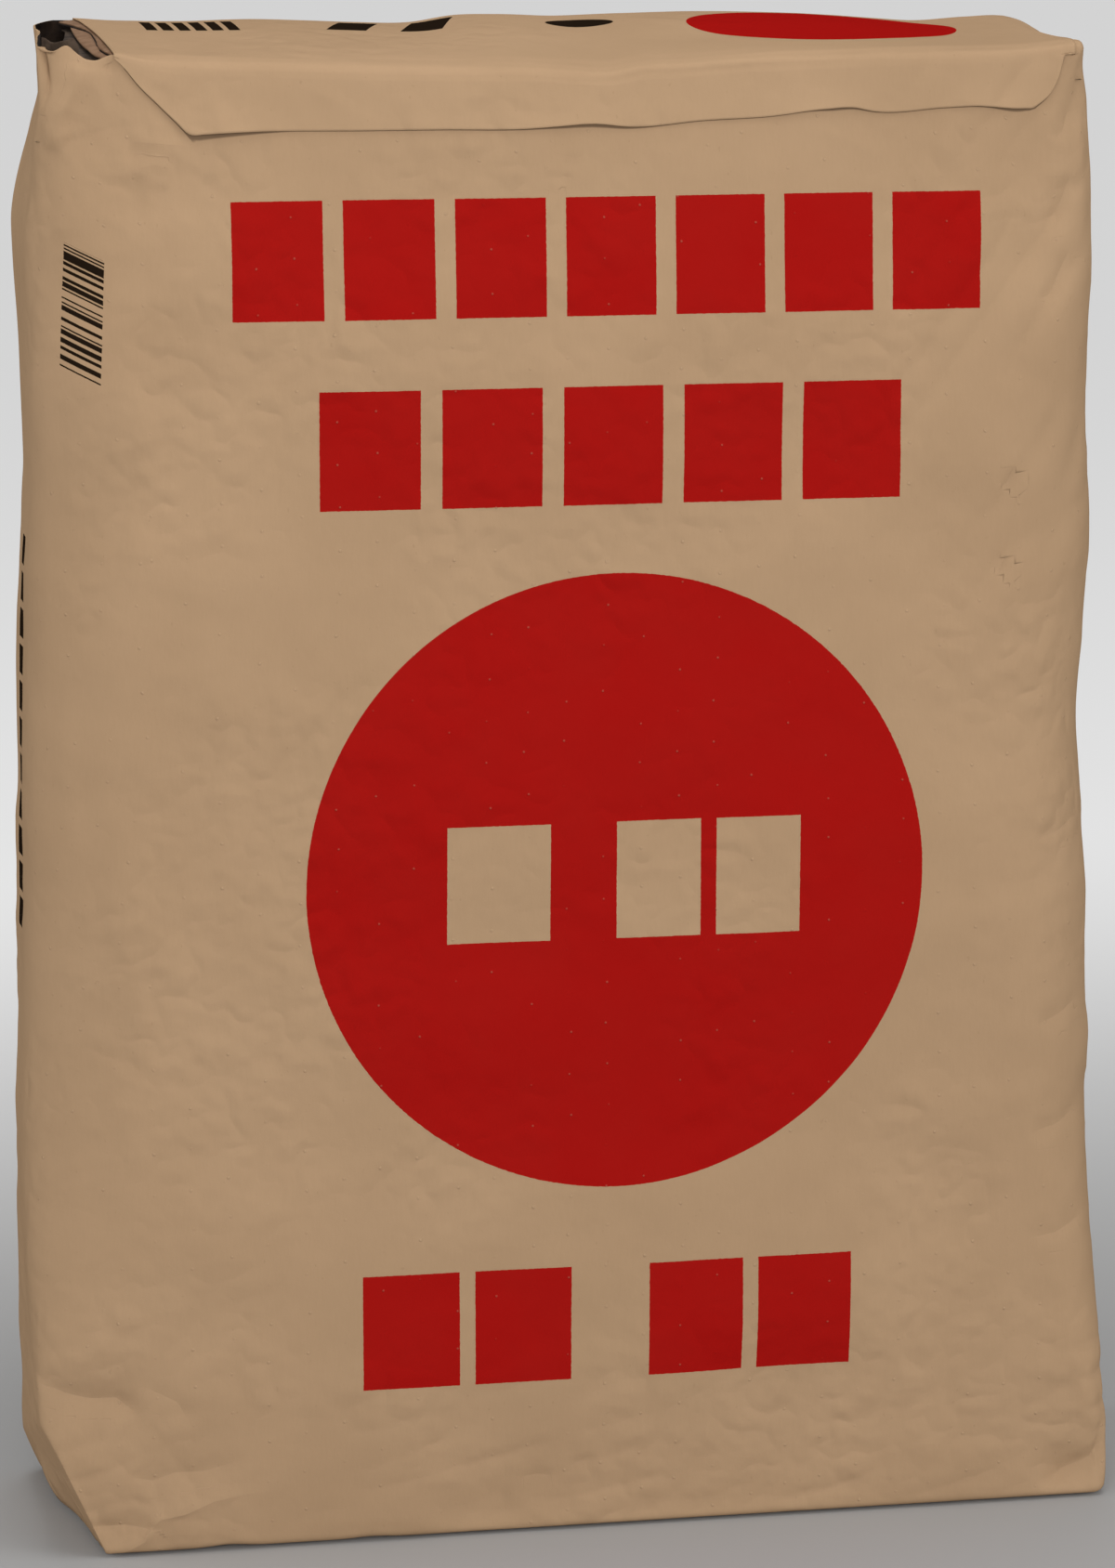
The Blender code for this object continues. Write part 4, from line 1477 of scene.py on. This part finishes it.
@dataclass(frozen=True)
class ValveCorner:
    """What shows in the open corner: cut and tucked plies, a loose inner ply and the sleeve."""

    form: BagForm
    front: float = -0.0515
    back: float = 0.0515
    cover_end: float = -0.1712
    cover_slant: float = 0.045
    upper_reach: Curve = Curve((
        (-0.0515, 0.0006), (-0.042, 0.0020), (-0.020, 0.0018), (-0.006, 0.0008), (0.006, 0.0004),
        (0.024, 0.0026), (0.0515, 0.0058),
    ))
    lower_reach: Curve = Curve((
        (-0.0515, 0.0022), (-0.042, 0.0046), (-0.020, 0.0062), (0.004, 0.0060), (0.020, 0.0050),
        (0.036, 0.0036), (0.0515, 0.0020),
    ))
    dark_reach: Curve = Curve((
        (-0.0515, 0.0007), (-0.042, 0.0022), (-0.020, 0.0020), (-0.006, 0.0010), (0.006, 0.0006),
        (0.024, 0.0028), (0.0515, 0.0060),
    ))
    tucked_reach: Curve = Curve((
        (-0.0515, 0.0105), (-0.030, 0.0120), (0.000, 0.0115), (0.020, 0.0080), (0.040, 0.0050),
    ))
    loose_top: Curve = Curve((
        (-0.1962, 0.5732), (-0.1951, 0.5729), (-0.1928, 0.5713), (-0.1908, 0.5714),
        (-0.1875, 0.5720), (-0.1845, 0.5724), (-0.1830, 0.5700),
    ))

    def sheet(
        self, name: str, points: np.ndarray, finish: bpy.types.Material, slot: str,
        thickness: float = 0.40 * MM,
    ) -> bpy.types.Object:
        """A single ply of paper from a grid of points, with its thickness."""
        faces = grid_faces(*points.shape[:2], closed=False)
        piece = add_piece(name, points, faces, [finish])
        add_thickness(piece, thickness, 0.0)
        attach(piece, "root")
        return piece

    def cut_ply(
        self, name: str, reach: Curve, drop: float, seed: int, finish: bpy.types.Material
    ) -> bpy.types.Object:
        """A folded ply whose cut edge sticks out from under the cover sheet.

        Args:
            name: The piece's name.
            reach: How far it sticks out past the cover's end, by its place from front to back.
            drop: How far below the top it lies.
            seed: For the waves of its cut edge.
            finish: Its paper.

        Returns:
            The ply: a strip that follows the top from front to back and droops to its edge.
        """
        y = np.linspace(self.front, self.back, 120)[:, None]
        across = np.linspace(1.0, 0.0, 14)[None, :]
        wave = Lumps(seed, 0.012).at(np.concatenate([y, 0.0 * y, 0.0 * y], axis=1))[:, None]
        cover_end = self.cover_end - self.cover_slant * (y + HALF_DEPTH)
        edge = cover_end - reach.at(y) - 0.25 * MM * wave
        inner = cover_end + 0.0060
        x = inner + (edge - inner) * across
        z = self.form.top_height(x, y + 0.0 * x) - drop - 0.15 * MM * wave
        z = z - 0.0006 * across**3 * (1.0 + wave)
        points = np.stack([x, y + 0.0 * x, z], axis=-1)
        return self.sheet(name, points, finish, "kraft_paper", 0.55 * MM)

    def standing_ply(
        self, name: str, top: Curve, bottom: float, y: float, sway: float, seed: int,
        finish: bpy.types.Material,
    ) -> bpy.types.Object:
        """A crumpled ply that stands in the mouth, seen over the front lip.

        Args:
            name: The piece's name.
            top: Height of its torn edge, by place across the bag. Its ends are the ply's ends.
            bottom: Height of its lower edge.
            y: Where it stands.
            sway: How far it weaves forward and back.
            seed: For its crumples.
            finish: Its paper.

        Returns:
            The ply: straight up at each place across, weaving from front to back along it.
        """
        low, high = top.stations[0][0], top.stations[-1][0]
        x = np.linspace(low, high, 60)[None, :]
        share = np.linspace(0.0, 1.0, 30)[:, None]
        ragged = Lumps(seed, 0.0016).at(np.stack([x, 0.0 * x, 0.0 * x], axis=-1))
        z = bottom + (top.at(x) + 0.18 * MM * ragged - bottom) * share
        weave = np.sin((x - low) * 620.0) * share + 0.5 * np.sin((x - low) * 300.0 + 1.0)
        crumple = Lumps(seed + 1, 0.004).at(np.stack([x + 0.0 * z, 0.0 * z, z], axis=-1))
        depth = y + sway * weave + 0.5 * MM * crumple - 0.0015 * share
        points = np.stack([x + 0.0 * z, depth, z], axis=-1)
        return self.sheet(name, points, finish, "kraft_inner_ply", 0.35 * MM)

    def sleeve(self, finish: bpy.types.Material) -> bpy.types.Object:
        """The flattened filling sleeve, a limp dusty ply that runs in under the cover; its colour is
        darkened with painted shade.

        Args:
            finish: Its dusty paper, darkened with painted shade.

        Returns:
            The sleeve, which stands for the CAD sleeve: level, dipping to the mouth, with a
            low fold along it and small crumples.
        """
        y = np.linspace(-0.0480, 0.0450, 110)[:, None]
        share = np.linspace(0.0, 1.0, 90)[None, :]
        x = -0.1900 + 0.0790 * share + 0.0 * y
        mouth = 1.0 - rise(0.10, 0.32, share)
        crumple = Lumps(91, 0.008).at(np.stack([x, y + 0.0 * x, 0.0 * x], axis=-1))
        crest = 0.5 - np.abs(Lumps(92, 0.014).at(np.stack([x, y + 0.0 * x, 0.0 * x], axis=-1)))
        z = 0.5585 - 0.0095 * mouth**2 + 0.0026 * hump(y, -0.020, 0.014) * mouth
        z = z + (0.9 * MM * crumple + 2.4 * MM * crest) * (0.3 + 0.7 * mouth)
        points = np.stack([x, y + 0.0 * x, z], axis=-1)
        piece = self.sheet("valve_sleeve_ply", points[:, ::-1], finish, "kraft_inner_ply")
        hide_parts("valve_sleeve")
        return piece


@dataclass(frozen=True)
class BottomCoverSheet:
    """The flat sheet under the folded foot, on which the bag stands."""

    left: float = -0.1640
    right: float = 0.1840
    half_depth: float = 0.0460
    corner: float = 0.0240
    thickness: float = 0.60 * MM

    def build(self, finish: bpy.types.Material) -> bpy.types.Object:
        """Makes the sheet: a grid whose ends narrow where the corners are cut off.

        Args:
            finish: Its paper.

        Returns:
            The sheet, which stands for the CAD sheet.
        """
        x = np.linspace(self.left, self.right, 90)[None, :]
        share = np.linspace(-1.0, 1.0, 30)[:, None]
        cut = np.maximum(self.corner - (x - self.left), self.corner - (self.right - x))
        width = self.half_depth - np.maximum(cut, 0.0)
        y = width * share
        points = np.stack([x + 0.0 * y, y, 0.0 * x + 0.0 * y], axis=-1)
        z = 0.25 * MM * (1.0 + Lumps(97, 0.03).at(points))
        points[..., 2] = z * rise(0.0, 0.012, width * (1.0 - np.abs(share)))
        piece = add_piece("bottom_cover", points, grid_faces(*y.shape, closed=False), [finish])
        add_thickness(piece, self.thickness, 1.0)
        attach(piece, "root")
        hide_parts("bottom_cover_sheet")
        return piece


@dataclass(frozen=True)
class DryMix:
    """The fill, just inside the paper. Only the sack's shape shows that it is there."""

    form: BagForm
    inside: float = 6.0 * MM

    def build(self, finish: bpy.types.Material) -> bpy.types.Object:
        """Makes the fill: a coarse copy of the sack's smooth surface, level under the valve.

        Args:
            finish: The powder.

        Returns:
            The fill, which stands for the CAD fill.
        """
        closed = replace(self.form, valve_depth=0.0, lip_radius=self.form.top_radius)
        coarse = PaperSack(closed, Relief(creases=()), 40, 6, 6, 4, 24, 6, 3, 40, 12)
        points, _ = coarse.smooth_grid(self.inside)
        for press in self.form.presses:
            points = press.moved_in(self.inside).apply(points)
        ceiling = 0.5360 + 0.0180 * rise(-0.15, -0.09, points[..., 0])
        points[..., 2] = np.clip(points[..., 2], self.inside, ceiling)
        faces = grid_faces(*points.shape[:2], closed=True)
        fill = add_piece("screed_fill", points, faces, [finish])
        join_seams(fill, 0.05 * MM)
        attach(fill, "root")
        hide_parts("screed_mix")
        return fill


# The studio


def direction(azimuth: float, elevation: float) -> Vector:
    """The way out from the bag at some degrees round it, 0 in front, and above the floor."""
    turn, climb = math.radians(azimuth), math.radians(elevation)
    return Vector((math.sin(turn) * math.cos(climb), -math.cos(turn) * math.cos(climb),
                   math.sin(climb)))


@dataclass(frozen=True)
class Studio:
    """A grey floor, a glow behind, soft light from above and in front, and the camera."""

    lens: float = 117.3
    sensor: float = 36.0
    azimuth: float = -10.467
    elevation: float = 11.450
    distance: float = 1.9731
    target: tuple[float, float, float] = (0.0005, 0.0, 0.2831)
    lit: tuple[float, float, float] = (0.0, 0.0, 0.28)

    def floor(self) -> None:
        """A wide grey floor that glows further back, as a bright backdrop would."""
        size = 30.0
        corners = np.array([[-size, -size, 0.0], [size, -size, 0.0],
                            [size, size, 0.0], [-size, size, 0.0]])
        shader = Shader("studio_floor")
        shader.set("Base Color", (0.40, 0.40, 0.40))
        _, y, _ = shader.split(shader.place)
        shader.set("Emission Color", (1.0, 1.0, 1.0))
        shader.set("Emission Strength", shader.ramp(y, 0.05, 1.20, (0.0, 0.52)))
        shader.set("Roughness", 0.9)
        shader.set("Specular IOR Level", 0.1)
        floor = add_piece("studio_floor", corners, np.array([[0, 1, 2, 3]]), [shader.material])

    def light(
        self, name: str, azimuth: float, elevation: float, distance: float, size: float,
        power: float,
    ) -> None:
        """A square soft light that faces the bag.

        Args:
            name: The light's name.
            azimuth: Where it stands, in degrees: 0 in front, 90 at the bag's right.
            elevation: Degrees above the floor.
            distance: From the middle of the bag, in metres.
            size: Length of its side, in metres.
            power: In watts.
        """
        lamp = bpy.data.lights.new(name, "AREA")
        lamp.energy = power
        lamp.size = size
        place = bpy.data.objects.new(name, lamp)
        bpy.context.scene.collection.objects.link(place)
        away = direction(azimuth, elevation)
        place.location = Vector(self.lit) + away * distance
        place.visible_camera = False
        place.rotation_mode = "QUATERNION"
        place.rotation_quaternion = away.to_track_quat("Z", "Y")

    def world(self) -> None:
        """An even pale surround."""
        world = bpy.data.worlds.new("studio")
        world.use_nodes = True
        back = world.node_tree.nodes["Background"]
        back.inputs["Color"].default_value = (1.0, 1.0, 1.0, 1.0)
        back.inputs["Strength"].default_value = 0.311
        bpy.context.scene.world = world
        bpy.context.scene.view_settings.view_transform = "Standard"

    def camera(self) -> None:
        """The photograph's viewpoint: a long lens, a little to the left and above."""
        data = bpy.data.cameras.new("camera")
        data.lens = self.lens
        data.sensor_width = self.sensor
        data.sensor_fit = "AUTO"
        data.clip_end = 100.0
        camera = bpy.data.objects.new("camera", data)
        bpy.context.scene.collection.objects.link(camera)
        away = direction(self.azimuth, self.elevation)
        camera.location = Vector(self.target) + away * self.distance
        camera.rotation_mode = "QUATERNION"
        camera.rotation_quaternion = away.to_track_quat("Z", "Y")
        bpy.context.scene.camera = camera

    def build(self) -> None:
        """Sets up the floor, the lights, the surround and the camera."""
        self.floor()
        self.light("front", -10.0, 10.0, 2.6, 1.5, 36.6)
        self.light("top", -14.0, 36.0, 0.85, 0.6, 0.62)
        self.light("left", -95.0, 13.0, 2.4, 1.4, 16.2)
        self.light("right", 60.0, 13.0, 2.4, 1.4, 19.5)
        self.light("over", -10.0, 80.0, 1.2, 0.8, 5.3)
        self.light("back", 175.0, 52.0, 2.2, 1.4, 6.0)
        self.world()
        self.camera()


def main() -> None:
    """Builds the studio and the bag, piece by piece."""
    logging.basicConfig(level=logging.INFO, format="%(message)s")
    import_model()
    Studio().build()
    form = BagForm()
    relief = Relief()
    kraft = KraftFinish()
    cover_kraft = KraftFinish(light=(0.412, 0.272, 0.161), dark=(0.366, 0.240, 0.140))
    outside = PrintedFace().dress(kraft)
    cover = CoverPrint().dress(cover_kraft)
    # Near-black: painted shade for the deep inside of the valve's mouth.
    mouth = DustAndShadePly("valve_mouth_painted_shade", (0.006, 0.003, 0.002), (0.020, 0.011, 0.006)).dress()
    # Dusty inner ply, its colour darkened with painted shade.
    ply = DustAndShadePly("valve_ply_dust_and_shade", (0.036, 0.023, 0.015), (0.082, 0.055, 0.038)).dress()
    cut_ply = DustAndShadePly("cut_ply", (0.185, 0.098, 0.050), (0.245, 0.140, 0.078)).dress()
    # Tucked ply, its colour darkened with painted shade.
    tucked = DustAndShadePly("tucked_ply_painted_shade", (0.026, 0.016, 0.009), (0.075, 0.050, 0.034)).dress()
    valve = ValveCorner(form)
    pieces = [
        PaperSack(form, relief).build(outside, mouth),
        TopCoverSheet(form, relief).build(cover),
        BottomCoverSheet().build(cover),
        valve.sleeve(ply),
        valve.cut_ply("upper_cut_ply", valve.upper_reach, 0.2 * MM, 5, cut_ply),
        # A near-black ply between the cut plies: painted shadow in the gap between them.
        valve.cut_ply("painted_shadow_gap_ply", valve.dark_reach, 0.8 * MM, 5, mouth),
        valve.cut_ply("lower_cut_ply", valve.lower_reach, 1.4 * MM, 6, cut_ply),
        valve.cut_ply("tucked_ply_painted_shade", valve.tucked_reach, 3.6 * MM, 8, tucked),
        valve.standing_ply("loose_inner_ply", valve.loose_top, 0.5585, -0.0420, 1.2 * MM, 7, ply),
        DryMix(form).build(DryMixFinish().dress()),
    ]
    for piece in pieces:
        LOG.info("%s: %d faces", piece.name, len(piece.data.polygons))


if __name__ == "__main__":
    main()
